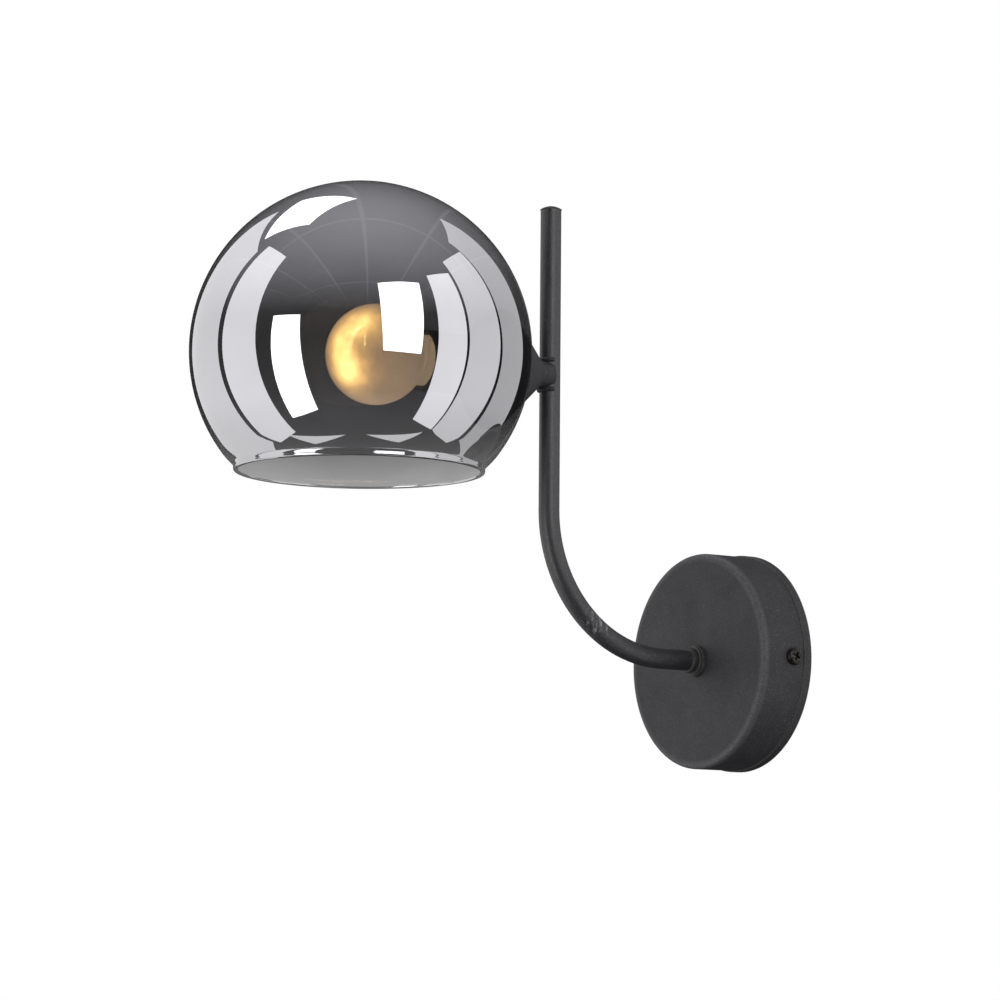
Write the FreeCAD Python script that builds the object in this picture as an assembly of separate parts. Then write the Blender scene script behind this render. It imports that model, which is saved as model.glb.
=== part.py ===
import FreeCAD, Part
import math
import os

# Globe wall sconce. Millimetres.
# The origin is the middle of the canopy's back rim, on the wall. +Z is up, +X is to the right
# for someone facing the wall, and +Y goes into the wall. "out" is the distance out from the
# wall, so a point at out = 50 has Y = -50.

Vector = FreeCAD.Vector
ALONG_X = Vector(1, 0, 0)
ALONG_Y = Vector(0, 1, 0)
ALONG_Z = Vector(0, 0, 1)
TO_ROOM = Vector(0, -1, 0)

# ---------------------------------------------------------------- driving dimensions
# overall places
ARM_TOP = 202.0          # canopy axis to the tube's cut upper end
FOOT_LENGTH = 20.5       # straight tube from the canopy's face to the start of the bend
BEND_RADIUS = 64.0       # of the tube's centreline
SHADE_HEIGHT = 125.5     # canopy axis up to the axis of the boss, lampholder and globe

# clearances
THREAD_GAP = 0.05        # radial, between the crest of a thread and the hole round it
SEAT_GAP = 0.05          # between faces that are tightened together
RUN_GAP = 0.05           # radial, between the bulb's cap and the holder round it
GLASS_GAP = 0.30         # between the glass and the metal that clamps it
HOLE_GAP = 0.75          # radial, between the lampholder's thread and the hole in the glass
NECK_GAP = 1.1           # radial, between the lamp's neck and the lampholder's skirt
BRAZE_GAP = 0.02         # radial, between the tube and what is brazed or welded to it
WIRE_GAP = 0.10          # between a lead and the hole it is pushed into

# canopy
CANOPY_DIAMETER = 100.0
CANOPY_DEPTH = 27.0
CANOPY_WALL = 1.0
CANOPY_EDGE = 2.0        # outside radius of the pressed front edge
LIP_STEP = 0.6           # how far the back rim is flared
LIP_DEPTH = 4.6
SIDE_SCREW_OUT = 10.0    # wall to the axis of the side screws

# wall bracket
BRACKET_THICKNESS = 1.5
STRAP_WIDTH = 24.0
EAR_WIDTH = 14.0
EAR_HEIGHT = 16.0
EAR_GAP = 0.3            # ear to the inside of the canopy
EAR_BEND = 0.6           # inside radius of the ear's bend
SLOT_SPACING = 56.0
SLOT_LENGTH = 14.0
SLOT_WIDTH = 4.5
CABLE_HOLE_DIAMETER = 14.0
TONGUE_WIDTH = 18.0
TONGUE_TOP = 38.0

# screws, metric sizes
M4_RADIUS = 2.0
M4_HEAD_RADIUS = 4.0
M4_HEAD_HEIGHT = 2.2
M3_RADIUS = 1.5
M3_HEAD_RADIUS = 2.3
SIDE_SCREW_LENGTH = 7.0
EARTH_SCREW_X = 14.5

# tube and what is threaded on its end
TUBE_DIAMETER = 9.5
TUBE_WALL = 1.0
THREAD_RISE = 0.2        # crest of the M10 x 1 thread, rolled up from the tube's outside
THREAD_CUT = 0.3         # its root, below the tube's outside
THREAD_PITCH = 1.0
TUBE_TAIL = 9.0          # threaded length behind the canopy's face
WIRE_HOLE_RADIUS = 3.3   # through the tube's front and the boss
COLLAR_LENGTH = 3.9
COLLAR_RISE = 2.1        # the collar's ring, above the tube
BEAD_RISE = 1.0          # the small bead in front of it
GROOVE_RISE = 0.55       # the groove between them
RING_NUT_WALL = 2.6      # the nuts, washer and tag, measured from the tube's outside
RING_NUT_THICKNESS = 1.85
KNURL_TEETH = 44
KNURL_DEPTH = 0.35
WASHER_THICKNESS = 0.8
WASHER_WALL = 3.25
WASHER_TEETH = 14
EARTH_TAG_THICKNESS = 0.6
NUT_THICKNESS = 3.0
NUT_WALL = 2.25
CAP_OVERHANG = 0.18      # the end cap's brim past the tube's outside
CAP_RISE = 1.8
CAP_STEM = 8.0

# boss and cup
BOSS_WALL = 1.75         # the boss's radius less the tube's
BOSS_BACK = 0.6          # from the tube's axis to the back end of the boss's cheeks
BOSS_LENGTH = 6.7        # from there to the seat of the cup
WELD_RADIUS = 1.0
CUP_LENGTH = 24.05       # boss's seat to the cup's mouth
CUP_MOUTH_RADIUS = 27.3
CUP_WALL = 1.0
STUD_LENGTH = 14.6
CONE_NUT_HEIGHT = 4.2
CONE_NUT_HEX = 1.8

# globe
GLOBE_RADIUS = 75.0
GLOBE_WALL = 2.2
SHOULDER_DROP = 43.5     # where the wall leaves the sphere
SHOULDER_RADIUS = 38.0
LIP_CURVE = 2.2          # the short hollow curve just above the rim

# lampholder
HOLDER_RADIUS = 14.0     # crest of the outside thread
SKIRT_STEP = 0.4         # the plain skirt, below that crest
HOLDER_WALL = 1.2
HOLDER_CAP_LENGTH = 11.0
HOLDER_BODY_LENGTH = 45.0
HOLDER_THREAD_DEPTH = 0.45
HOLDER_THREAD_PITCH = 2.0
HOLDER_THREAD_SPARE = 1.1  # thread left in front of the shade ring
SPIGOT_LENGTH = 3.0      # of the body, inside the cap
SPIGOT_STEP = 1.6        # the spigot, below the thread's crest
CORE_RECESS = 2.0        # the porcelain core's back, in front of where cap and body meet
CORE_FLANGE = 2.5        # thickness of the core's wide back
CORE_FLOOR = 4.0         # core's back to the socket's floor
SOCKET_DEPTH = 17.8
SHELL_THICKNESS = 0.33
SHELL_SETBACK = 2.5      # the screw shell's back, in front of the socket's floor
RING_FLANGE = 6.0        # the shade ring's flange, past the thread's crest
RING_HUB = 2.6
RING_FLANGE_THICKNESS = 2.4
RING_LENGTH = 7.6
RING_NOTCHES = 12

# bulb with a 14 mm screw cap
TIP_STANDOFF = 2.0       # socket's floor to the tip contact
TIP_LENGTH = 4.6         # tip to the back of the screw shell
SCREW_CAP_LENGTH = 11.4
BULB_COLLAR_LENGTH = 10.6
BALL_AHEAD = 33.6        # front of the collar to the middle of the ball
BALL_DIAMETER = 44.5
BALL_WALL = 0.8
CAP_CREST = 6.95
CAP_WALL = 1.05          # crest to the inside of the screw shell
CAP_PITCH = 2.822
FILAMENT_RADIUS = 13.0   # of the curved strip
FILAMENT_AHEAD = 8.0     # from the ball's middle towards the room

# wiring
LEAD_RADIUS = 1.0
LEAD_APART = 0.2         # half the gap between the two leads in the tube
ELBOW_RADIUS = 5.0       # of the leads' turn from the tube into the boss
BARREL_SKIN = 0.5        # metal round a lead crimped in a terminal
POLE_SPACING = 10.6
BLOCK_WIDTH = 19.6
BLOCK_DEPTH = 17.0
BLOCK_HEIGHT = 13.0
BLOCK_Z = 29.0

# ---------------------------------------------------------------- worked-out places
CANOPY_RADIUS = CANOPY_DIAMETER / 2
CANOPY_INSIDE = CANOPY_RADIUS - CANOPY_WALL
TUBE_RADIUS = TUBE_DIAMETER / 2
TUBE_BORE = TUBE_RADIUS - TUBE_WALL
TUBE_SEAT = TUBE_RADIUS + BRAZE_GAP
THREAD_CREST = TUBE_RADIUS + THREAD_RISE
THREAD_ROOT = TUBE_RADIUS - THREAD_CUT
THREAD_HOLE = THREAD_CREST + THREAD_GAP
NUT_ACROSS_FLATS = 2 * (TUBE_RADIUS + NUT_WALL)
WASHER_RADIUS = TUBE_RADIUS + WASHER_WALL
LEAD_SPREAD = LEAD_RADIUS + LEAD_APART

# places along the way out from the wall
TUBE_END_OUT = CANOPY_DEPTH - TUBE_TAIL
COLLAR_BACK = CANOPY_DEPTH + RING_NUT_THICKNESS + SEAT_GAP
BEND_START_OUT = CANOPY_DEPTH + FOOT_LENGTH
ARM_REACH = BEND_START_OUT + BEND_RADIUS
BOSS_START = ARM_REACH + BOSS_BACK
BOSS_SEAT = BOSS_START + BOSS_LENGTH
CUP_MOUTH = BOSS_SEAT + CUP_LENGTH
SHADE_REACH = CUP_MOUTH + GLASS_GAP + math.sqrt(GLOBE_RADIUS ** 2 - CUP_MOUTH_RADIUS ** 2)

# boss, lampholder and lamp
BOSS_RADIUS = TUBE_RADIUS + BOSS_WALL
GLOBE_HOLE_RADIUS = HOLDER_RADIUS + HOLE_GAP
RING_RADIUS = HOLDER_RADIUS + RING_FLANGE
SKIRT_RADIUS = HOLDER_RADIUS - SKIRT_STEP
SKIRT_INSIDE = SKIRT_RADIUS - HOLDER_WALL
SPIGOT_RADIUS = HOLDER_RADIUS - SPIGOT_STEP
NECK_RADIUS = SKIRT_INSIDE - NECK_GAP
CONE_NUT_BACK = BOSS_SEAT + CUP_WALL + 3 * SEAT_GAP
HOLDER_START = CONE_NUT_BACK + CONE_NUT_HEIGHT + CONE_NUT_HEX + SEAT_GAP
HOLDER_JOIN = HOLDER_START + HOLDER_CAP_LENGTH
HOLDER_FRONT = HOLDER_JOIN + HOLDER_BODY_LENGTH
INSERT_BACK = HOLDER_JOIN + CORE_RECESS
INSERT_STEP = INSERT_BACK + CORE_FLANGE
SOCKET_FLOOR = INSERT_BACK + CORE_FLOOR
SOCKET_FRONT = SOCKET_FLOOR + SOCKET_DEPTH
BULB_TIP_OUT = SOCKET_FLOOR + TIP_STANDOFF
CAP_START = BULB_TIP_OUT + TIP_LENGTH
CAP_END = CAP_START + SCREW_CAP_LENGTH
COLLAR_FRONT = CAP_END + BULB_COLLAR_LENGTH
BALL_OUT = COLLAR_FRONT + BALL_AHEAD
BALL_RADIUS = BALL_DIAMETER / 2


# ---------------------------------------------------------------- helpers
def at(x, out, z):
    """A point given by its distance out from the wall."""
    return Vector(x, -out, z)


def closed_face(outline, to_point):
    """A face from outline points; an entry of two points is an arc through the first."""
    edges = []
    start = to_point(*outline[0])
    for entry in outline[1:] + outline[:1]:
        if isinstance(entry[0], tuple):
            middle, end = to_point(*entry[0]), to_point(*entry[1])
            edges.append(Part.Arc(start, middle, end).toShape())
        else:
            end = to_point(*entry)
            edges.append(Part.makeLine(start, end))
        start = end
    return Part.Face(Part.Wire(edges))


def lathe(outline, height=0.0, x=0.0):
    """Turn (radius, out) points about a line along Y at the given height."""
    face = closed_face(outline, lambda radius, out: at(x + radius, out, height))
    return face.revolve(at(x, 0, height), TO_ROOM, 360)


def lathe_upright(outline, out):
    """Turn (radius, z) points about a vertical line at the given distance out."""
    face = closed_face(outline, lambda radius, z: at(radius, out, z))
    return face.revolve(at(0, out, 0), ALONG_Z, 360)


def rod(radius, start, end):
    return Part.makeCylinder(radius, (end - start).Length, start, end - start)


def box(low_x, high_x, low_out, high_out, low_z, high_z):
    size = (high_x - low_x, high_out - low_out, high_z - low_z)
    return Part.makeBox(*size, at(low_x, high_out, low_z))


def prism(points, thickness, direction):
    """Extrude a flat closed run of points."""
    wire = Part.makePolygon(points + points[:1])
    return Part.Face(wire).extrude(direction * thickness)


def ridges(crest, root, start, end, pitch):
    """Outline points of a thread drawn as rings, from start to end."""
    count = int(round(abs(end - start) / pitch))
    step = (end - start) / count
    points = []
    for turn in range(count):
        points.append((crest, start + turn * step))
        points.append((root, start + (turn + 0.5) * step))
    return points + [(crest, end)]


def around(shape, count, centre, direction):
    """The shape and its copies, evenly turned about a line."""
    copies = []
    for index in range(count):
        copy = shape.copy()
        copy.rotate(centre, direction, 360.0 * index / count)
        copies.append(copy)
    return copies


def cross_recess(radius, depth, top, direction, turn):
    """The cutter of a cross recess that opens at top, against direction."""
    arms = []
    for angle in (turn, turn + 90.0):
        arm = Part.makeBox(2 * radius, 0.5 * radius, depth)
        arm.translate(Vector(-radius, -0.25 * radius, 0))
        arm.rotate(Vector(0, 0, 0), ALONG_Z, angle)
        arms.append(arm)
    cutter = arms[0].fuse(arms[1])
    cutter.Placement = FreeCAD.Placement(top, FreeCAD.Rotation(ALONG_Z, direction))
    return cutter


def pan_screw(head_radius, head_height, shank_radius, length, seat, direction, turn=45.0):
    """A pan-head screw whose head sits on seat and whose shank runs along direction."""
    round_over = 0.45 * head_height
    outline = [
        (0, -head_height),
        (0.55 * head_radius, -head_height),
        ((0.88 * head_radius, -0.75 * head_height), (head_radius, -round_over)),
        (head_radius, 0),
        (shank_radius, 0),
        (shank_radius, length - 0.5 * shank_radius),
        (0.5 * shank_radius, length),
        (0, length),
    ]
    face = closed_face(outline, lambda radius, along: Vector(radius, 0, along))
    screw = face.revolve(Vector(0, 0, 0), ALONG_Z, 360)
    recess = cross_recess(0.5 * head_radius, 0.6 * head_height, Vector(0, 0, -head_height), ALONG_Z, turn)
    screw = screw.cut(recess)
    screw.Placement = FreeCAD.Placement(seat, FreeCAD.Rotation(ALONG_Z, direction))
    return screw


def rounded_route(points, share=0.45):
    """A wire of straight runs joined by arcs as large as the runs allow, and its radii."""
    edges = []
    radii = []
    here = points[0]
    for before, corner, after in zip(points, points[1:], points[2:]):
        back, ahead = before - corner, after - corner
        half_turn = (math.pi - back.getAngle(ahead)) / 2
        trim = share * min(back.Length, ahead.Length)
        start = corner + back.normalize() * trim
        end = corner + ahead.normalize() * trim
        radius = trim / math.tan(half_turn)
        inward = (start + end) * 0.5 - corner
        reach = radius / math.cos(half_turn) - radius
        middle = corner + inward.normalize() * reach
        edges.append(Part.makeLine(here, start))
        edges.append(Part.Arc(start, middle, end).toShape())
        radii.append(round(radius, 1))
        here = end
    edges.append(Part.makeLine(here, points[-1]))
    return edges, radii


def tube_along(edges, radius):
    """A round solid along tangent edges."""
    path = Part.Wire(edges)
    start = edges[0].valueAt(edges[0].FirstParameter)
    heading = edges[0].tangentAt(edges[0].FirstParameter)
    ring = Part.Wire([Part.makeCircle(radius, start, heading)])
    return path.makePipeShell([ring], True, False)


# ---------------------------------------------------------------- canopy and wall bracket
def canopy_cover():
    """Pressed steel cup with a rounded front edge and a flared back rim."""
    inner_edge = CANOPY_EDGE - CANOPY_WALL
    bow = CANOPY_EDGE * (1 - math.sqrt(0.5))
    inner_bow = inner_edge * (1 - math.sqrt(0.5))
    back_wall = CANOPY_DEPTH - CANOPY_WALL
    cover = lathe([
        (CANOPY_RADIUS + LIP_STEP, 0),
        (CANOPY_RADIUS + LIP_STEP, LIP_DEPTH - LIP_STEP),
        (CANOPY_RADIUS, LIP_DEPTH),
        (CANOPY_RADIUS, CANOPY_DEPTH - CANOPY_EDGE),
        ((CANOPY_RADIUS - bow, CANOPY_DEPTH - bow), (CANOPY_RADIUS - CANOPY_EDGE, CANOPY_DEPTH)),
        (THREAD_HOLE, CANOPY_DEPTH),
        (THREAD_HOLE, back_wall),
        (CANOPY_INSIDE - inner_edge, back_wall),
        ((CANOPY_INSIDE - inner_bow, back_wall - inner_bow), (CANOPY_INSIDE, back_wall - inner_edge)),
        (CANOPY_INSIDE, LIP_DEPTH),
        (CANOPY_INSIDE + LIP_STEP, LIP_DEPTH - LIP_STEP),
        (CANOPY_INSIDE + LIP_STEP, 0),
    ])
    left, right = at(-CANOPY_DIAMETER, SIDE_SCREW_OUT, 0), at(CANOPY_DIAMETER, SIDE_SCREW_OUT, 0)
    return cover.cut(rod(M4_RADIUS + 0.2, left, right))


def ear_outside():
    """Distance from the middle to the flat outside of an ear, clear of the round canopy."""
    return math.sqrt((CANOPY_INSIDE - EAR_GAP) ** 2 - (EAR_WIDTH / 2) ** 2)


def bracket_ear():
    """The right-hand end of the strap with its ear bent up towards the room."""
    outside = ear_outside()
    inside = outside - BRACKET_THICKNESS
    bend = BRACKET_THICKNESS + EAR_BEND
    middle = math.sqrt(0.5)
    start = inside - EAR_BEND
    outline = [
        (start, 0),
        ((start + bend * middle, bend - bend * middle), (outside, bend)),
        (outside, EAR_HEIGHT),
        (inside, EAR_HEIGHT),
        (inside, bend),
        ((start + EAR_BEND * middle, bend - EAR_BEND * middle), (start, BRACKET_THICKNESS)),
    ]
    face = closed_face(outline, lambda x, out: at(x, out, -EAR_WIDTH / 2))
    return face.extrude(ALONG_Z * EAR_WIDTH)


def slot(x):
    """Cutter of one wall-screw slot, long along X."""
    half = (SLOT_LENGTH - SLOT_WIDTH) / 2
    radius = SLOT_WIDTH / 2
    ends = [rod(radius, at(x + side * half, -1, 0), at(x + side * half, 3, 0)) for side in (-1, 1)]
    return box(x - half, x + half, -1, 3, -radius, radius).fuse(ends)


def wall_bracket():
    """Steel strap with two bent ears and a tongue that carries the terminal block."""
    strap_end = ear_outside() - BRACKET_THICKNESS - EAR_BEND
    half_width = STRAP_WIDTH / 2
    bracket = box(-strap_end, strap_end, 0, BRACKET_THICKNESS, -half_width, half_width)
    tongue = box(-TONGUE_WIDTH / 2, TONGUE_WIDTH / 2, 0, BRACKET_THICKNESS, half_width, TONGUE_TOP)
    ears = around(bracket_ear(), 2, Vector(0, 0, 0), ALONG_Y)
    bracket = bracket.fuse([tongue] + ears).removeSplitter()
    tapped = M4_RADIUS + THREAD_GAP
    cutters = [
        rod(CABLE_HOLE_DIAMETER / 2, at(0, -1, 0), at(0, 3, 0)),
        rod(tapped, at(EARTH_SCREW_X, -1, 0), at(EARTH_SCREW_X, 3, 0)),
        rod(M3_RADIUS + THREAD_GAP, at(0, -1, BLOCK_Z), at(0, 3, BLOCK_Z)),
        rod(tapped, at(-CANOPY_DIAMETER, SIDE_SCREW_OUT, 0), at(CANOPY_DIAMETER, SIDE_SCREW_OUT, 0)),
        slot(-SLOT_SPACING / 2),
        slot(SLOT_SPACING / 2),
    ]
    return bracket.cut(cutters)


def canopy_screws():
    """Two M4 pan-head screws through the canopy's sides into the ears."""
    screws = []
    for side in (-1, 1):
        seat = at(side * (CANOPY_RADIUS + SEAT_GAP), SIDE_SCREW_OUT, 0)
        screws.append(pan_screw(M4_HEAD_RADIUS, M4_HEAD_HEIGHT, M4_RADIUS, SIDE_SCREW_LENGTH,
                                seat, Vector(-side, 0, 0), turn=25.0))
    return Part.makeCompound(screws)


def ring_terminal_top():
    return BRACKET_THICKNESS + SEAT_GAP + 0.8


def earth_ring_terminal():
    """Crimped ring terminal that lies on the strap under the earth screw."""
    low = BRACKET_THICKNESS + SEAT_GAP
    high = ring_terminal_top()
    ring = rod(M4_HEAD_RADIUS, at(EARTH_SCREW_X, low, 0), at(EARTH_SCREW_X, high, 0))
    tail = box(EARTH_SCREW_X - 1.5, EARTH_SCREW_X + 1.5, low, high, -8.0, 0)
    bore_radius = LEAD_RADIUS + WIRE_GAP
    barrel_out = low + bore_radius + BARREL_SKIN
    x = EARTH_SCREW_X
    barrel = rod(bore_radius + BARREL_SKIN, at(x, barrel_out, -12.0), at(x, barrel_out, -6.5))
    bore = rod(bore_radius, at(x, barrel_out, -13.0), at(x, barrel_out, -7.5))
    hole = rod(M4_RADIUS + 0.2, at(EARTH_SCREW_X, 0, 0), at(EARTH_SCREW_X, 4, 0))
    return ring.fuse([tail, barrel]).cut([bore, hole])


def earth_screw():
    seat = at(EARTH_SCREW_X, ring_terminal_top() + SEAT_GAP, 0)
    return pan_screw(M4_HEAD_RADIUS, M4_HEAD_HEIGHT, M4_RADIUS, ring_terminal_top() - 0.1, seat, ALONG_Y)


# ---------------------------------------------------------------- terminal block
BLOCK_BASE = BRACKET_THICKNESS + SEAT_GAP
BLOCK_FLOOR = 5.0        # thickness of the block under its fixing screw's head
BARREL_OUT = BLOCK_BASE + 4.2
BARREL_RADIUS = 2.3
BARREL_BORE = 1.45
TOWER_RADIUS = 3.1
TOWER_SPREAD = 4.6       # screws above and below the block's middle
BLOCK_SCREW_RADIUS = 1.3


def pole_places():
    return (-POLE_SPACING / 2, POLE_SPACING / 2)


def tower_places():
    return [(x, BLOCK_Z + side * TOWER_SPREAD) for x in pole_places() for side in (-1, 1)]


def terminal_block():
    """Two-pole moulded block with a screw tower at each end of each pole."""
    low, high = BLOCK_Z - BLOCK_DEPTH / 2, BLOCK_Z + BLOCK_DEPTH / 2
    top = BLOCK_BASE + BLOCK_HEIGHT
    body = box(-BLOCK_WIDTH / 2, BLOCK_WIDTH / 2, BLOCK_BASE, BLOCK_BASE + BLOCK_FLOOR, low, high)
    humps = [rod(3.7, at(x, BARREL_OUT + 0.6, low), at(x, BARREL_OUT + 0.6, high)) for x in pole_places()]
    towers = [rod(TOWER_RADIUS, at(x, BARREL_OUT, z), at(x, top, z)) for x, z in tower_places()]
    body = body.fuse(humps + towers).removeSplitter()
    cutters = [rod(BARREL_RADIUS + THREAD_GAP, at(x, BARREL_OUT, low - 1), at(x, BARREL_OUT, high + 1))
               for x in pole_places()]
    cutters += [rod(1.95, at(x, BARREL_OUT, z), at(x, top + 1, z)) for x, z in tower_places()]
    cutters.append(rod(M3_RADIUS + 0.1, at(0, 0, BLOCK_Z), at(0, top, BLOCK_Z)))
    cutters.append(rod(M3_HEAD_RADIUS + 0.15, at(0, BLOCK_BASE + BLOCK_FLOOR, BLOCK_Z), at(0, top, BLOCK_Z)))
    return body.cut(cutters)


def terminal_clamps():
    """The brass tube of each pole, drilled for its two screws."""
    clamps = []
    half = BLOCK_DEPTH / 2 - 1.0
    low, high = BLOCK_Z - half, BLOCK_Z + half
    for x in pole_places():
        clamp = rod(BARREL_RADIUS, at(x, BARREL_OUT, low), at(x, BARREL_OUT, high))
        cutters = [rod(BARREL_BORE, at(x, BARREL_OUT, low - 1), at(x, BARREL_OUT, high + 1))]
        for side in (-1, 1):
            z = BLOCK_Z + side * TOWER_SPREAD
            start, end = at(x, BARREL_OUT, z), at(x, BARREL_OUT + 5, z)
            cutters.append(rod(BLOCK_SCREW_RADIUS + THREAD_GAP, start, end))
        clamps.append(clamp.cut(cutters))
    return Part.makeCompound(clamps)


def terminal_screws():
    """Four slotted grub-head screws that press on the leads."""
    screws = []
    top = BLOCK_BASE + BLOCK_HEIGHT - 0.8
    for x, z in tower_places():
        shank = rod(BLOCK_SCREW_RADIUS, at(x, BARREL_OUT + LEAD_RADIUS + WIRE_GAP, z), at(x, top, z))
        head = rod(1.8, at(x, top - 1.6, z), at(x, top, z))
        slot_cut = box(x - 2.0, x + 2.0, top - 0.8, top + 1, z - 0.3, z + 0.3)
        screws.append(shank.fuse(head).cut(slot_cut))
    return Part.makeCompound(screws)


def terminal_block_screw():
    """M3 screw through the middle of the block into the tongue."""
    seat = at(0, BLOCK_BASE + BLOCK_FLOOR + SEAT_GAP, BLOCK_Z)
    return pan_screw(M3_HEAD_RADIUS, 1.7, M3_RADIUS, BLOCK_FLOOR + 1.4, seat, ALONG_Y)


# ---------------------------------------------------------------- arm
def ring_section(out, z, direction):
    """The tube's ring-shaped section at a point."""
    outer = Part.Face(Part.Wire([Part.makeCircle(TUBE_RADIUS, at(0, out, z), direction)]))
    inner = Part.Face(Part.Wire([Part.makeCircle(TUBE_BORE, at(0, out, z), direction)]))
    return outer.cut(inner).Faces[0]


def arm_tube():
    """One tube: threaded end in the canopy, a quarter bend, and the long upright."""
    thread_end = COLLAR_BACK
    foot = lathe(
        [(TUBE_BORE, TUBE_END_OUT)]
        + ridges(THREAD_CREST, THREAD_ROOT, TUBE_END_OUT, thread_end, THREAD_PITCH)
        + [(TUBE_RADIUS, thread_end), (TUBE_RADIUS, BEND_START_OUT), (TUBE_BORE, BEND_START_OUT)]
    )
    bend = ring_section(BEND_START_OUT, 0, ALONG_Y).revolve(at(0, BEND_START_OUT, BEND_RADIUS), ALONG_X, -90)
    upright = ring_section(ARM_REACH, BEND_RADIUS, ALONG_Z).extrude(ALONG_Z * (ARM_TOP - BEND_RADIUS))
    tube = foot.fuse([bend, upright]).removeSplitter()
    return tube.cut(rod(WIRE_HOLE_RADIUS, at(0, ARM_REACH, SHADE_HEIGHT), at(0, BOSS_SEAT, SHADE_HEIGHT)))


def end_cap():
    """Domed plug in the tube's upper end."""
    brim = ARM_TOP + SEAT_GAP
    brim_radius = TUBE_RADIUS + CAP_OVERHANG
    stem = TUBE_BORE - THREAD_GAP
    return lathe_upright([
        (0, brim - CAP_STEM),
        (stem - 0.6, brim - CAP_STEM),
        (stem, brim - CAP_STEM + 1.0),
        (stem, brim),
        (brim_radius, brim),
        (brim_radius, brim + 0.35),
        ((0.62 * brim_radius, brim + 0.72 * CAP_RISE), (0.25 * brim_radius, brim + CAP_RISE)),
        (0, brim + CAP_RISE),
    ], ARM_REACH)


def stop_collar():
    """Turned collar brazed round the tube: a small bead, a groove and a wider ring."""
    back = COLLAR_BACK
    front = back + COLLAR_LENGTH
    ring = TUBE_RADIUS + COLLAR_RISE
    groove = TUBE_RADIUS + GROOVE_RISE
    bead = TUBE_RADIUS + BEAD_RISE
    return lathe([
        (TUBE_SEAT, back),
        (ring - 0.3, back),
        (ring, back + 0.3),
        (ring, back + 0.8),
        (ring - 0.4, back + 1.2),
        (groove, back + 1.3),
        (groove, back + 1.8),
        (bead, back + 2.1),
        ((bead - 0.05, front - 0.6), (TUBE_SEAT + 0.25, front)),
        (TUBE_SEAT, front),
    ])


def knurled_ring_nut():
    """Round nut against the canopy's face, with straight knurling and chamfered edges."""
    points = []
    outside = TUBE_RADIUS + RING_NUT_WALL
    for index in range(2 * KNURL_TEETH):
        radius = outside - (KNURL_DEPTH if index % 2 else 0)
        angle = math.pi * index / KNURL_TEETH
        points.append(at(radius * math.cos(angle), CANOPY_DEPTH, radius * math.sin(angle)))
    knurled = prism(points, RING_NUT_THICKNESS, TO_ROOM)
    chamfer = 0.3
    front = CANOPY_DEPTH + RING_NUT_THICKNESS
    blank = lathe([
        (THREAD_HOLE, CANOPY_DEPTH),
        (outside - chamfer, CANOPY_DEPTH),
        (outside, CANOPY_DEPTH + chamfer),
        (outside, front - chamfer),
        (outside - chamfer, front),
        (THREAD_HOLE, front),
    ])
    return knurled.common(blank)


def washer_front():
    return CANOPY_DEPTH - CANOPY_WALL


def tooth_washer():
    """Spring-steel lock washer with teeth round its edge, inside the canopy."""
    front = washer_front()
    washer = lathe([
        (THREAD_HOLE, front - WASHER_THICKNESS),
        (WASHER_RADIUS, front - WASHER_THICKNESS),
        (WASHER_RADIUS, front),
        (THREAD_HOLE, front),
    ])
    notch = box(WASHER_RADIUS - 1.4, WASHER_RADIUS + 1, front - 2, front + 1, -0.5, 0.5)
    return washer.cut(around(notch, WASHER_TEETH, at(0, 0, 0), ALONG_Y))


def earth_tag_front():
    return washer_front() - WASHER_THICKNESS - SEAT_GAP


def arm_earth_tag():
    """Ring tag under the nut; its tail points down and takes the earth lead."""
    front = earth_tag_front()
    back = front - EARTH_TAG_THICKNESS
    ring = rod(WASHER_RADIUS, at(0, back, 0), at(0, front, 0))
    tail = box(-1.6, 1.6, back, front, -16.0, 0)
    barrel_out = tag_barrel_out()
    bore_radius = LEAD_RADIUS + WIRE_GAP
    barrel = rod(bore_radius + BARREL_SKIN, at(0, barrel_out, -18.0), at(0, barrel_out, -11.5))
    bore = rod(bore_radius, at(0, barrel_out, -19.0), at(0, barrel_out, -12.5))
    hole = rod(THREAD_HOLE, at(0, back - 1, 0), at(0, front + 1, 0))
    return ring.fuse([tail, barrel]).cut([bore, hole])


def tag_barrel_out():
    return earth_tag_front() - LEAD_RADIUS - WIRE_GAP - BARREL_SKIN


def hex_points(across_flats, out, height=0.0):
    radius = across_flats / math.sqrt(3)
    angles = [math.radians(60 * index) for index in range(6)]
    return [at(radius * math.cos(angle), out, height + radius * math.sin(angle)) for angle in angles]


def canopy_nut():
    """Thin hexagon nut, M10 x 1, that clamps the canopy to the tube."""
    front = earth_tag_front() - EARTH_TAG_THICKNESS - SEAT_GAP
    back = front - NUT_THICKNESS
    nut = prism(hex_points(NUT_ACROSS_FLATS, front), NUT_THICKNESS, ALONG_Y)
    corner = NUT_ACROSS_FLATS / math.sqrt(3)
    rounded = lathe([
        (THREAD_HOLE, back),
        (NUT_ACROSS_FLATS / 2, back),
        (corner, back + 0.6),
        (corner, front - 0.6),
        (NUT_ACROSS_FLATS / 2, front),
        (THREAD_HOLE, front),
    ])
    return nut.common(rounded)


def tube_bush():
    """Plastic bush in the tube's inner end, so its edge can't cut the leads."""
    flange = TUBE_END_OUT - SEAT_GAP
    bore = LEAD_SPREAD + LEAD_RADIUS + 0.5
    stem = TUBE_BORE - THREAD_GAP
    return lathe([
        (bore, flange - 1.2),
        (THREAD_ROOT, flange - 1.2),
        (THREAD_ROOT, flange),
        (stem, flange),
        (stem, flange + 6.0),
        (bore, flange + 6.0),
    ])


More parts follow.
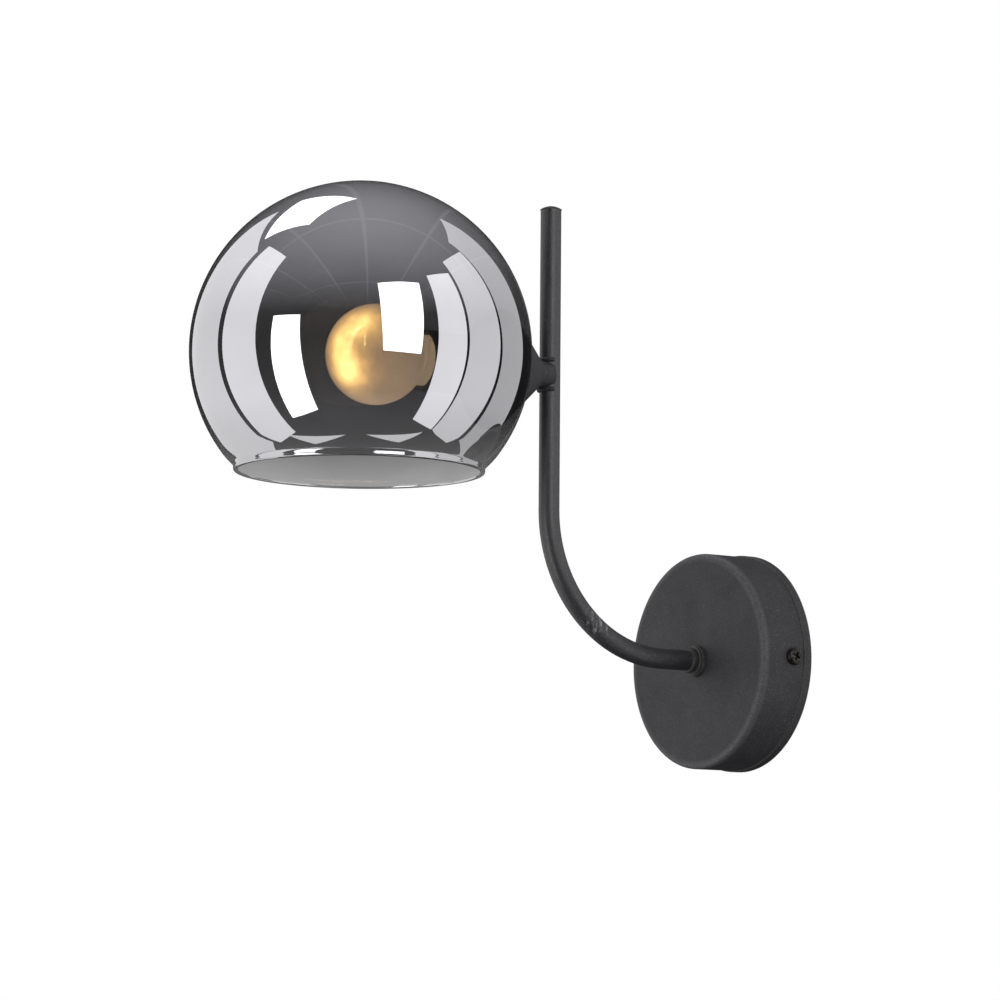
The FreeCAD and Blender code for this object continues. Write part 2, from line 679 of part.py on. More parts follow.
# ---------------------------------------------------------------- boss and cup
def arm_boss():
    """Turned boss, hollowed to the tube, with a drilled and threaded stud in front."""
    head = rod(BOSS_RADIUS, at(0, BOSS_START, SHADE_HEIGHT), at(0, BOSS_SEAT, SHADE_HEIGHT))
    stud = lathe(
        [(0, BOSS_SEAT - 0.5), (THREAD_ROOT, BOSS_SEAT - 0.5), (THREAD_ROOT, BOSS_SEAT)]
        + ridges(THREAD_CREST, THREAD_ROOT, BOSS_SEAT, BOSS_SEAT + STUD_LENGTH, THREAD_PITCH)
        + [(0, BOSS_SEAT + STUD_LENGTH)],
        SHADE_HEIGHT,
    )
    seat = rod(TUBE_SEAT, at(0, ARM_REACH, SHADE_HEIGHT - 20), at(0, ARM_REACH, SHADE_HEIGHT + 20))
    past_end = BOSS_SEAT + STUD_LENGTH + 1
    bore = rod(WIRE_HOLE_RADIUS, at(0, ARM_REACH, SHADE_HEIGHT), at(0, past_end, SHADE_HEIGHT))
    return head.fuse(stud).cut([seat, bore])


def boss_welds():
    """A short fillet weld above and below the boss, where it meets the tube's front."""
    beads = []
    for side in (-1, 1):
        z = SHADE_HEIGHT + side * (BOSS_RADIUS + 0.25)
        path_radius = TUBE_RADIUS + 0.25
        ring = Part.makeTorus(path_radius, WELD_RADIUS, at(0, ARM_REACH, z), ALONG_Z)
        front_only = box(-9, 9, ARM_REACH + 1.2, ARM_REACH + 12, z - 3, z + 3)
        beads.append(ring.common(front_only))
    metal = [
        rod(TUBE_SEAT, at(0, ARM_REACH, SHADE_HEIGHT - 20), at(0, ARM_REACH, SHADE_HEIGHT + 20)),
        rod(BOSS_RADIUS + BRAZE_GAP, at(0, BOSS_START - 5, SHADE_HEIGHT), at(0, BOSS_SEAT + 5, SHADE_HEIGHT)),
    ]
    return Part.makeCompound([bead.cut(metal) for bead in beads])


def cup_slope():
    """Growth of the cup's radius for each millimetre out."""
    return (CUP_MOUTH_RADIUS - BOSS_RADIUS) / CUP_LENGTH


def cup_inside(out):
    """The cup's inside radius at a distance out."""
    skin = CUP_WALL * math.sqrt(1 + cup_slope() ** 2)
    return BOSS_RADIUS + (out - BOSS_SEAT) * cup_slope() - skin


def shade_cup():
    """Spun steel cone between the boss and the globe; only its outer edge meets the glass."""
    floor = BOSS_SEAT + SEAT_GAP
    inside_floor = floor + CUP_WALL
    inner_mouth = CUP_MOUTH - CUP_WALL
    return lathe([
        (THREAD_HOLE, floor),
        (BOSS_RADIUS, floor),
        (CUP_MOUTH_RADIUS, CUP_MOUTH),
        (cup_inside(inner_mouth), inner_mouth),
        (cup_inside(inside_floor), inside_floor),
        (THREAD_HOLE, inside_floor),
    ], SHADE_HEIGHT)


def cone_nut():
    """Nut with a coned back that seats in the cup, and a hexagon front."""
    back = CONE_NUT_BACK
    front = back + CONE_NUT_HEIGHT
    gap = 3 * SEAT_GAP
    cone = lathe([
        (THREAD_HOLE, back),
        (cup_inside(back) - gap, back),
        (cup_inside(front) - gap, front),
        (THREAD_HOLE, front),
    ], SHADE_HEIGHT)
    hexagon = prism(hex_points(NUT_ACROSS_FLATS, front, SHADE_HEIGHT), CONE_NUT_HEX, TO_ROOM)
    hexagon = hexagon.cut(rod(THREAD_HOLE, at(0, front - 1, SHADE_HEIGHT), at(0, front + 5, SHADE_HEIGHT)))
    return cone.fuse(hexagon).removeSplitter()


# ---------------------------------------------------------------- lampholder
CORE_RADIUS = SPIGOT_RADIUS - 1.1
CORE_TOWER_RADIUS = CORE_RADIUS - 1.1


def lampholder_cap():
    """Domed moulded cap that screws on the stud."""
    back = HOLDER_START
    outer = SPIGOT_RADIUS + HOLDER_WALL
    thread_front = BOSS_SEAT + STUD_LENGTH
    return lathe([
        (THREAD_HOLE, back),
        (outer - 5.6, back),
        ((outer - 2.0, back + 1.7), (outer, back + 5.4)),
        (outer, HOLDER_JOIN - SEAT_GAP),
        (SPIGOT_RADIUS + THREAD_GAP, HOLDER_JOIN - SEAT_GAP),
        (SPIGOT_RADIUS + THREAD_GAP, back + 6.0),
        (8.2, back + 3.0),
        (8.2, thread_front - 1.0),
        (THREAD_HOLE, thread_front - 1.0),
    ], SHADE_HEIGHT)


def lampholder_body():
    """Moulded sleeve: spigot, outside thread for the shade ring, and a plain skirt."""
    spigot_end = HOLDER_JOIN - SPIGOT_LENGTH
    core_bore = CORE_RADIUS + THREAD_GAP
    tower_bore = CORE_TOWER_RADIUS + THREAD_GAP
    root = HOLDER_RADIUS - HOLDER_THREAD_DEPTH
    thread_end = shade_ring_back() + RING_LENGTH + HOLDER_THREAD_SPARE
    return lathe(
        [(core_bore, spigot_end), (SPIGOT_RADIUS, spigot_end), (SPIGOT_RADIUS, HOLDER_JOIN)]
        + ridges(HOLDER_RADIUS, root, HOLDER_JOIN, thread_end - 1.0, HOLDER_THREAD_PITCH)
        + [
            (SKIRT_RADIUS, thread_end),
            (SKIRT_RADIUS, HOLDER_FRONT - 0.4),
            (SKIRT_RADIUS - 0.4, HOLDER_FRONT),
            (SKIRT_INSIDE, HOLDER_FRONT),
            (SKIRT_INSIDE, INSERT_STEP + 2.5),
            (tower_bore, INSERT_STEP + 1.5),
            (tower_bore, INSERT_STEP + SEAT_GAP),
            (core_bore, INSERT_STEP + SEAT_GAP),
        ],
        SHADE_HEIGHT,
    )


def socket_bore():
    return CAP_CREST + RUN_GAP + SHELL_THICKNESS + THREAD_GAP


def lampholder_insert():
    """Porcelain core that carries the screw shell and the centre contact."""
    return lathe([
        (0, INSERT_BACK),
        (CORE_RADIUS, INSERT_BACK),
        (CORE_RADIUS, INSERT_STEP),
        (CORE_TOWER_RADIUS, INSERT_STEP),
        (CORE_TOWER_RADIUS, SOCKET_FRONT),
        (socket_bore(), SOCKET_FRONT),
        (socket_bore(), SOCKET_FLOOR),
        (0, SOCKET_FLOOR),
    ], SHADE_HEIGHT)


def lampholder_shell():
    """Brass screw shell in the core."""
    inner = CAP_CREST + RUN_GAP
    outer = inner + SHELL_THICKNESS
    return lathe([
        (inner, SOCKET_FLOOR + SHELL_SETBACK),
        (outer, SOCKET_FLOOR + SHELL_SETBACK),
        (outer, SOCKET_FRONT),
        (inner, SOCKET_FRONT),
    ], SHADE_HEIGHT)


def lampholder_centre_contact():
    """Bent brass leaf on the socket's floor, just behind the bulb's tip."""
    floor = SOCKET_FLOOR + SEAT_GAP
    top = BULB_TIP_OUT - GLASS_GAP
    leaf = 0.4
    points = [
        (-5.0, floor), (-1.5, floor), (1.0, top - leaf), (3.6, top - leaf),
        (3.6, top), (0.8, top), (-1.7, floor + leaf), (-5.0, floor + leaf),
    ]
    return prism([at(x, out, SHADE_HEIGHT - 2.0) for x, out in points], 4.0, ALONG_Z)


TERMINAL_INSET = 6.6      # from the outside thread's crest to a terminal's middle
TERMINAL_X = HOLDER_RADIUS - TERMINAL_INSET
TERMINAL_HALF = 2.3
TERMINAL_DEPTH = 3.4
TERMINAL_BORE = 4.4       # from a terminal's middle to past its inner face
LEAD_END_X = TERMINAL_X - 0.4


def terminal_out():
    return INSERT_BACK - SEAT_GAP - TERMINAL_DEPTH / 2


def lampholder_terminals():
    """Two brass blocks behind the core, bored for the leads and closed by a small screw."""
    blocks = []
    back = INSERT_BACK - SEAT_GAP - TERMINAL_DEPTH
    for side in (-1, 1):
        middle = side * TERMINAL_X
        block = box(middle - TERMINAL_HALF, middle + TERMINAL_HALF, back, back + TERMINAL_DEPTH,
                    SHADE_HEIGHT - TERMINAL_HALF, SHADE_HEIGHT + TERMINAL_HALF)
        start = at(middle - side * TERMINAL_BORE, terminal_out(), SHADE_HEIGHT)
        end = at(middle, terminal_out(), SHADE_HEIGHT)
        blocks.append(block.cut(rod(LEAD_RADIUS + WIRE_GAP, start, end)))
    return Part.makeCompound(blocks)


def shade_ring_back():
    """Where the ring's outer edge meets the inside of the globe, past the gap."""
    glass_inside = GLOBE_RADIUS - GLOBE_WALL
    return SHADE_REACH - math.sqrt(glass_inside ** 2 - RING_RADIUS ** 2) + GLASS_GAP


def shade_ring():
    """Flanged ring on the lampholder's thread that holds the glass against the cup."""
    back = shade_ring_back()
    step = back + RING_FLANGE_THICKNESS
    front = back + RING_LENGTH
    bore = HOLDER_RADIUS + THREAD_GAP
    ring = lathe([
        (bore, back),
        (RING_RADIUS, back),
        (RING_RADIUS, step - 0.6),
        (RING_RADIUS - 0.6, step),
        (bore + RING_HUB, step),
        (bore + RING_HUB, front - 0.6),
        (bore + RING_HUB - 0.6, front),
        (bore, front),
    ], SHADE_HEIGHT)
    notch_x = bore + RING_HUB + 0.4
    notch = rod(1.3, at(notch_x, step, SHADE_HEIGHT), at(notch_x, front + 1, SHADE_HEIGHT))
    return ring.cut(around(notch, RING_NOTCHES, at(0, 0, SHADE_HEIGHT), ALONG_Y))


# ---------------------------------------------------------------- globe
def globe_wall_line(inset):
    """Outline of the globe's wall, inset from its outside, from the top to the rim."""
    start_angle = math.asin(SHOULDER_DROP / GLOBE_RADIUS)
    slope_angle = math.radians(48.0)
    radius = GLOBE_RADIUS - inset
    sphere_end = (radius * math.cos(start_angle), -radius * math.sin(start_angle))
    sphere_middle = (radius * math.cos(0.5 * (start_angle - math.pi / 2)),
                     -radius * math.sin(0.5 * (start_angle - math.pi / 2)))
    shoulder_x = (GLOBE_RADIUS - SHOULDER_RADIUS) * math.cos(start_angle)
    shoulder_z = -(GLOBE_RADIUS - SHOULDER_RADIUS) * math.sin(start_angle)
    shoulder = SHOULDER_RADIUS - inset

    def on_shoulder(angle):
        return (shoulder_x + shoulder * math.cos(angle), shoulder_z - shoulder * math.sin(angle))

    hollow_x = shoulder_x + (SHOULDER_RADIUS + LIP_CURVE) * math.cos(slope_angle)
    hollow_z = shoulder_z - (SHOULDER_RADIUS + LIP_CURVE) * math.sin(slope_angle)
    hollow = LIP_CURVE + inset

    def on_hollow(angle):
        return (hollow_x - hollow * math.cos(angle), hollow_z + hollow * math.sin(angle))

    lip_angle = math.radians(-12.0)
    return [
        (0, radius),
        (sphere_middle, sphere_end),
        (on_shoulder(0.5 * (start_angle + slope_angle)), on_shoulder(slope_angle)),
        (on_hollow(0.5 * (slope_angle + lip_angle)), on_hollow(lip_angle)),
    ]


def end_of(entry):
    return entry[1] if isinstance(entry[0], tuple) else entry


def reversed_outline(outline):
    """The same line walked from its other end."""
    turned = [end_of(outline[-1])]
    for before, entry in zip(outline[-2::-1], outline[:0:-1]):
        target = end_of(before)
        turned.append((entry[0], target) if isinstance(entry[0], tuple) else target)
    return turned


def glass_globe():
    """Blown globe, open below with a rounded rim, and holed behind for the lampholder."""
    outer = globe_wall_line(0.0)
    inner = reversed_outline(globe_wall_line(GLOBE_WALL))
    outer_end, inner_start = end_of(outer[-1]), inner[0]
    middle_x = 0.5 * (outer_end[0] + inner_start[0])
    middle_z = 0.5 * (outer_end[1] + inner_start[1])
    across = (outer_end[0] - inner_start[0], outer_end[1] - inner_start[1])
    rim_bottom = (middle_x + 0.5 * across[1], middle_z - 0.5 * across[0])
    outline = outer + [(rim_bottom, inner_start)] + inner[1:]
    raised = []
    for entry in outline:
        if isinstance(entry[0], tuple):
            raised.append(tuple((x, z + SHADE_HEIGHT) for x, z in entry))
        else:
            raised.append((entry[0], entry[1] + SHADE_HEIGHT))
    globe = lathe_upright(raised, SHADE_REACH)
    hole = rod(GLOBE_HOLE_RADIUS, at(0, SHADE_REACH - GLOBE_RADIUS - 5, SHADE_HEIGHT),
               at(0, SHADE_REACH - GLOBE_RADIUS / 2, SHADE_HEIGHT))
    return globe.cut(hole)


# ---------------------------------------------------------------- bulb
TIP_RADIUS = 2.4
TIP_STEM = 1.5
CAP_ROOT = CAP_CREST - 0.6
CAP_NOSE = CAP_CREST - 0.75
CAP_BORE = CAP_CREST - CAP_WALL


def bulb_tip_contact():
    """Soldered contact at the end of the bulb's cap."""
    return lathe([
        (0, BULB_TIP_OUT),
        (0.6 * TIP_RADIUS, BULB_TIP_OUT),
        (TIP_RADIUS, BULB_TIP_OUT + 0.6),
        (TIP_RADIUS, BULB_TIP_OUT + 1.1),
        (TIP_STEM, BULB_TIP_OUT + 1.1),
        (TIP_STEM, BULB_TIP_OUT + 3.4),
        (0, BULB_TIP_OUT + 3.4),
    ], SHADE_HEIGHT)


def bulb_insulator():
    """Black cone between the tip contact and the screw shell."""
    back = BULB_TIP_OUT + 1.2
    return lathe([
        (TIP_STEM + RUN_GAP, back),
        (3.2, back),
        (CAP_NOSE, CAP_START - 0.4),
        (CAP_NOSE, CAP_START - SEAT_GAP),
        (CAP_BORE - 0.45, CAP_START - SEAT_GAP),
        (CAP_BORE - 0.45, CAP_START + 1.0),
        (TIP_STEM + RUN_GAP, CAP_START + 1.0),
    ], SHADE_HEIGHT)


def bulb_screw_shell():
    """Nickel-plated screw shell, its thread drawn as rings."""
    thread_start = CAP_START + 0.8
    lip = CAP_BORE - 0.4
    return lathe(
        [(lip, CAP_START + 0.2), (CAP_NOSE, CAP_START)]
        + ridges(CAP_ROOT, CAP_CREST, thread_start, thread_start + 3 * CAP_PITCH, CAP_PITCH)
        + [(CAP_ROOT, CAP_END), (CAP_BORE, CAP_END), (CAP_BORE, CAP_START + 1.4), (lip, CAP_START + 1.1)],
        SHADE_HEIGHT,
    )


def bulb_collar():
    """White moulded collar between the cap and the opal ball."""
    stem = CAP_BORE - THREAD_GAP
    bore = stem - 1.25
    return lathe([
        (bore, CAP_END - 6.0),
        (stem, CAP_END - 6.0),
        (stem, CAP_END + SEAT_GAP),
        (NECK_RADIUS - 3.1, CAP_END + SEAT_GAP),
        ((NECK_RADIUS - 2.4, CAP_END + 3.4), (NECK_RADIUS, COLLAR_FRONT - 3.0)),
        (NECK_RADIUS, COLLAR_FRONT),
        (NECK_RADIUS - 1.6, COLLAR_FRONT),
        (NECK_RADIUS - 4.3, CAP_END + 3.0),
        (bore, CAP_END + 3.0),
    ], SHADE_HEIGHT)


def bulb_envelope():
    """Opal ball with a short straight neck, an even thin shell."""
    def ball_meets(neck, ball):
        return BALL_OUT - math.sqrt(ball ** 2 - neck ** 2)

    inner_neck = NECK_RADIUS - BALL_WALL
    inner_ball = BALL_RADIUS - BALL_WALL
    back = COLLAR_FRONT + SEAT_GAP
    return lathe([
        (NECK_RADIUS, back),
        (NECK_RADIUS, ball_meets(NECK_RADIUS, BALL_RADIUS)),
        ((BALL_RADIUS, BALL_OUT), (0, BALL_OUT + BALL_RADIUS)),
        (0, BALL_OUT + inner_ball),
        ((inner_ball, BALL_OUT), (inner_neck, ball_meets(inner_neck, inner_ball))),
        (inner_neck, back),
    ], SHADE_HEIGHT)


def bulb_stem():
    """Glass stem inside the ball that carries the filament."""
    return lathe([
        (0, COLLAR_FRONT + 1.0),
        (inner_stem_radius(), COLLAR_FRONT + 1.0),
        (inner_stem_radius(), COLLAR_FRONT + 3.0),
        (3.0, COLLAR_FRONT + 10.0),
        (2.0, BALL_OUT + FILAMENT_AHEAD),
        (0, BALL_OUT + FILAMENT_AHEAD),
    ], SHADE_HEIGHT)


def inner_stem_radius():
    return NECK_RADIUS - BALL_WALL - 0.1


def bulb_filament():
    """Curved light strip round the stem, held by two wires."""
    strip = 0.8
    out = BALL_OUT + FILAMENT_AHEAD - 2.0
    centre = at(0, out, SHADE_HEIGHT)
    start_angle, sweep = 80.0, 125.0
    section_centre = centre + Vector(FILAMENT_RADIUS, 0, 0)
    section = Part.Face(Part.Wire([Part.makeCircle(strip, section_centre, ALONG_Z)]))
    section.rotate(centre, TO_ROOM, start_angle)
    arc = section.revolve(centre, TO_ROOM, sweep)
    wires = []
    for angle in (start_angle + 6.0, start_angle + sweep - 6.0):
        turn = math.radians(angle)
        direction = Vector(math.cos(turn), 0, math.sin(turn))
        wires.append(rod(0.35, centre + direction * 2.3, centre + direction * FILAMENT_RADIUS))
    return arc.fuse(wires)


# ---------------------------------------------------------------- leads
def arm_lead(side):
    """One insulated lead from the terminal block, through the arm, to the lampholder."""
    x = side * LEAD_SPREAD
    pole = side * POLE_SPACING / 2
    into_block = BLOCK_Z - BLOCK_DEPTH / 2 + 2.6
    canopy_run = [
        at(pole, BARREL_OUT, into_block),
        at(pole, BARREL_OUT + 0.3, 13.0),
        at(x, BARREL_OUT + 1.0, 0),
        at(x, BEND_START_OUT, 0),
    ]
    first, first_radii = rounded_route(canopy_run)
    bend_middle = math.sqrt(0.5) * BEND_RADIUS
    bend = Part.Arc(
        at(x, BEND_START_OUT, 0),
        at(x, BEND_START_OUT + bend_middle, BEND_RADIUS - bend_middle),
        at(x, ARM_REACH, BEND_RADIUS),
    ).toShape()
    turn = ELBOW_RADIUS * (1 - math.sqrt(0.5))
    rise = Part.makeLine(at(x, ARM_REACH, BEND_RADIUS), at(x, ARM_REACH, SHADE_HEIGHT - ELBOW_RADIUS))
    elbow = Part.Arc(
        at(x, ARM_REACH, SHADE_HEIGHT - ELBOW_RADIUS),
        at(x, ARM_REACH + turn, SHADE_HEIGHT - turn),
        at(x, ARM_REACH + ELBOW_RADIUS, SHADE_HEIGHT),
    ).toShape()
    holder_run = [
        at(x, ARM_REACH + ELBOW_RADIUS, SHADE_HEIGHT),
        at(x, terminal_out(), SHADE_HEIGHT),
        at(side * LEAD_END_X, terminal_out(), SHADE_HEIGHT),
    ]
    last, last_radii = rounded_route(holder_run)
    print("lead", side, "radii", first_radii + [BEND_RADIUS, ELBOW_RADIUS] + last_radii)
    return tube_along(first + [bend, rise, elbow] + last, LEAD_RADIUS)


def earth_lead():
    """Earth lead from the bracket's ring terminal to the tag on the arm."""
    start_out = BRACKET_THICKNESS + SEAT_GAP + LEAD_RADIUS + WIRE_GAP + BARREL_SKIN
    route, radii = rounded_route([
        at(EARTH_SCREW_X, start_out, -8.0),
        at(EARTH_SCREW_X, start_out, -28.0),
        at(0, tag_barrel_out(), -28.0),
        at(0, tag_barrel_out(), -13.0),
    ])
    print("earth lead radii", radii)
    return tube_along(route, LEAD_RADIUS)


# ---------------------------------------------------------------- output
PIECES = {
    "wall_bracket": wall_bracket,
    "canopy_cover": canopy_cover,
    "canopy_screws": canopy_screws,
    "earth_screw": earth_screw,
    "earth_ring_terminal": earth_ring_terminal,
    "terminal_block": terminal_block,
    "terminal_clamps": terminal_clamps,
    "terminal_screws": terminal_screws,
    "terminal_block_screw": terminal_block_screw,
    "arm_tube": arm_tube,
    "end_cap": end_cap,
    "stop_collar": stop_collar,
    "knurled_ring_nut": knurled_ring_nut,
    "tooth_washer": tooth_washer,
    "arm_earth_tag": arm_earth_tag,
    "canopy_nut": canopy_nut,
    "tube_bush": tube_bush,
    "arm_boss": arm_boss,
    "boss_welds": boss_welds,
    "shade_cup": shade_cup,
    "cone_nut": cone_nut,
    "lampholder_cap": lampholder_cap,
    "lampholder_body": lampholder_body,
    "lampholder_insert": lampholder_insert,
    "lampholder_shell": lampholder_shell,
    "lampholder_centre_contact": lampholder_centre_contact,
    "lampholder_terminals": lampholder_terminals,
    "shade_ring": shade_ring,
    "glass_globe": glass_globe,
    "bulb_tip_contact": bulb_tip_contact,
    "bulb_insulator": bulb_insulator,
    "bulb_screw_shell": bulb_screw_shell,
    "bulb_collar": bulb_collar,
    "bulb_envelope": bulb_envelope,
    "bulb_stem": bulb_stem,
    "bulb_filament": bulb_filament,
    "live_lead": lambda: arm_lead(-1),
    "neutral_lead": lambda: arm_lead(1),
    "earth_lead": earth_lead,
}

os.makedirs("parts", exist_ok=True)
for name, make in PIECES.items():
    shape = make()
    if not shape.isValid() or not shape.Solids:
        raise ValueError("the piece %s isn't a sound solid" % name)
    print("%-28s solids %d  volume %10.1f mm3" % (name, len(shape.Solids), shape.Volume))
    shape.exportStep("parts/%s.step" % name)
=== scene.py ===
import math

import bmesh
import bpy
from bpy.props import (
    FloatProperty,
    FloatVectorProperty,
    IntProperty,
    PointerProperty,
    StringProperty,
)
from mathutils import Matrix, Vector


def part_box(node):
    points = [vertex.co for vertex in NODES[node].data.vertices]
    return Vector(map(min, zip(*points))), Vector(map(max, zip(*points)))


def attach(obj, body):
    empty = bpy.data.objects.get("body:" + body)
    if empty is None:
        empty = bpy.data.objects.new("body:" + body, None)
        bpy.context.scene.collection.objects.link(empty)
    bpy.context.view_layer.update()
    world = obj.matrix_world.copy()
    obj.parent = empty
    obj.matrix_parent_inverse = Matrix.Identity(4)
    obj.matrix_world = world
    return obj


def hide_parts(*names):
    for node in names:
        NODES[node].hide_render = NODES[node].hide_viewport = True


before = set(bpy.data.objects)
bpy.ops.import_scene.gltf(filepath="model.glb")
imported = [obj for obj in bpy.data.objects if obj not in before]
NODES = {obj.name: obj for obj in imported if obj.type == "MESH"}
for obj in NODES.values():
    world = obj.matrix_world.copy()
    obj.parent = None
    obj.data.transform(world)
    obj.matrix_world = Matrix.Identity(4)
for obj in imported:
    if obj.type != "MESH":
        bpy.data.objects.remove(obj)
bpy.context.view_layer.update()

bl_info = {
    "name": "Globe wall sconce",
    "version": (1, 0, 0),
    "blender": (4, 5, 0),
    "location": "3D View > Sidebar > Sconce",
    "description": "Glass, finishes, lamp glow and studio for a globe wall sconce",
    "category": "Object",
}

MILLI = 0.001
MADE = {}  # materials built so far, by the function that builds them

# Height of the lampholder's axis, which the globe and the lamp turn about.
SHADE_AXIS_Z = sum(corner.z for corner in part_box("lampholder_body")) / 2
GLOBE_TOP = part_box("glass_globe")[1].z
GLOBE_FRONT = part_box("glass_globe")[0].y


# ---------------------------------------------------------------- settings
class SconceSizes(bpy.types.PropertyGroup):
    """Sizes of the blown globe."""

    globe_radius: FloatProperty(
        name="Globe radius", description="Outside radius of the blown globe",
        default=GLOBE_TOP - SHADE_AXIS_Z, min=0.02, subtype="DISTANCE", unit="LENGTH")
    glass_wall: FloatProperty(
        name="Glass wall", description="Thickness of the globe's wall",
        default=2.2 * MILLI, min=0.0005, subtype="DISTANCE", unit="LENGTH")
    shoulder_drop: FloatProperty(
        name="Shoulder drop",
        description="Middle of the globe down to where the wall leaves the sphere",
        default=43.5 * MILLI, min=0.0, subtype="DISTANCE", unit="LENGTH")
    shoulder_radius: FloatProperty(
        name="Shoulder radius", description="Tighter radius of the wall below the sphere",
        default=38.0 * MILLI, min=0.001, subtype="DISTANCE", unit="LENGTH")
    lip_curve: FloatProperty(
        name="Lip curve", description="Radius of the hollow curve above the rim",
        default=2.2 * MILLI, min=0.0005, subtype="DISTANCE", unit="LENGTH")
    hole_radius: FloatProperty(
        name="Hole radius", description="Hole at the back of the globe for the lampholder",
        default=14.75 * MILLI, min=0.001, subtype="DISTANCE", unit="LENGTH")
    segments: IntProperty(
        name="Segments", description="Divisions round the globe", default=224, min=32, max=512)


class SconceColours(bpy.types.PropertyGroup):
    """Colours that a user would change, as sRGB hex values."""

    coat: StringProperty(name="Coat", description="Powder coat on the metal", default="#222225")
    coat_speck: StringProperty(
        name="Coat speck", description="Fine light specks in the coat", default="#58585c")
    film: StringProperty(name="Mirror film", description="Metal film on the globe", default="#d6d6da")
    opal: StringProperty(name="Opal", description="Opal coat of the lamp", default="#f0e2c8")
    glow: StringProperty(name="Glow", description="Lit opal near the filament", default="#e6b873")
    glow_edge: StringProperty(
        name="Glow edge", description="Lit opal far from the filament", default="#cfb79e")
    moulding: StringProperty(name="Moulding", description="Dark moulded lampholder", default="#1d1b1a")


class SconceStudio(bpy.types.PropertyGroup):
    """Light level and camera of the studio."""

    panel_level: FloatProperty(
        name="Panel level", description="Radiance of the large side panels, where 1 is white",
        default=1.25, min=0.0, subtype="FACTOR")
    box_level: FloatProperty(
        name="Softbox level", description="Radiance of the small front softboxes",
        default=3.0, min=0.0, subtype="FACTOR")
    fill_level: FloatProperty(
        name="Fill level", description="Light that the room gives to matt surfaces",
        default=0.28, min=0.0, subtype="FACTOR")
    floor_height: FloatProperty(
        name="Floor height", description="Height of the floor below the canopy's middle",
        default=-1.5, subtype="DISTANCE", unit="LENGTH")
    camera_place: FloatVectorProperty(
        name="Camera place", description="Where the camera stands",
        default=(1.234306, -0.988128, -0.126496), size=3, subtype="XYZ", unit="LENGTH")
    camera_heading: FloatVectorProperty(
        name="Camera heading", description="Yaw to the left, tilt up and roll of the camera",
        default=(math.radians(55.4564), math.radians(7.3352), math.radians(0.4996)),
        size=3, subtype="EULER", unit="ROTATION")
    lens: FloatProperty(
        name="Lens", description="Focal length on a sensor 36 mm wide, in millimetres",
        default=121.48, min=1.0)


# ---------------------------------------------------------------- node helpers
def linear(code):
    """An sRGB hex value as an opaque linear colour."""
    parts = [int(code[place:place + 2], 16) / 255 for place in (1, 3, 5)]
    curved = [part / 12.92 if part <= 0.04045 else ((part + 0.055) / 1.055) ** 2.4 for part in parts]
    return curved + [1.0]


def add(tree, kind, inputs=(), settings=(), **links):
    """A new node: its settings, its input values by name or number, and its links to other sockets.

    A link is named after its input; i and a number names the input by its place.
    """
    node = tree.nodes.new("ShaderNode" + kind)
    for key, value in dict(settings).items():
        setattr(node, key, value)
    for key, value in dict(inputs).items():
        node.inputs[key].default_value = value
    for key, socket in links.items():
        target = int(key[1:]) if key[0] == "i" and key[1:].isdigit() else key.replace("_", " ")
        tree.links.new(socket, node.inputs[target])
    return node


def new_material(name):
    """An empty node material and its tree, with its output and its Principled shader linked."""
    material = bpy.data.materials.new(name)
    material.use_nodes = True
    tree = material.node_tree
    tree.nodes.clear()
    shader = add(tree, "BsdfPrincipled")
    add(tree, "OutputMaterial", Surface=shader.outputs[0])
    return material, tree, shader


def ramp(tree, factor, stops):
    """A colour ramp with (place, hex value) stops."""
    node = add(tree, "ValToRGB", Fac=factor)
    while len(node.color_ramp.elements) < len(stops):
        node.color_ramp.elements.new(1.0)
    for element, (place, code) in zip(node.color_ramp.elements, stops):
        element.position = place
        element.color = linear(code)
    return node.outputs[0]


def per_size(millimetres):
    """The texture scale at which one feature is that wide, with coordinates in metres."""
    return 1.0 / (millimetres * MILLI)


def spread(tree, value, low, high, to_low=0.0, to_high=1.0):
    """Map a value from one range to another, held at both ends."""
    return add(tree, "MapRange", {1: low, 2: high, 3: to_low, 4: to_high}, i0=value).outputs[0]


def emboss(tree, shader, height, strength, distance):
    """Raise the surface by a texture, where the distance is in metres."""
    bump = add(tree, "Bump", {"Strength": strength, "Distance": distance}, Height=height)
    tree.links.new(bump.outputs[0], shader.inputs["Normal"])


def glossy(tree, shader, value, low, high):
    """Roughness that runs from low to high over the middle of a texture."""
    tree.links.new(spread(tree, value, 0.3, 0.7, low, high), shader.inputs["Roughness"])


def made(maker):
    """The material that a maker builds, built once and then shared."""
    if maker not in MADE:
        MADE[maker] = maker()
    return MADE[maker]


def give(material, *names):
    """Put one material on CAD nodes."""
    for name in names:
        mesh = NODES[name].data
        mesh.materials.clear()
        mesh.materials.append(material)
        for face in mesh.polygons:
            face.material_index = 0


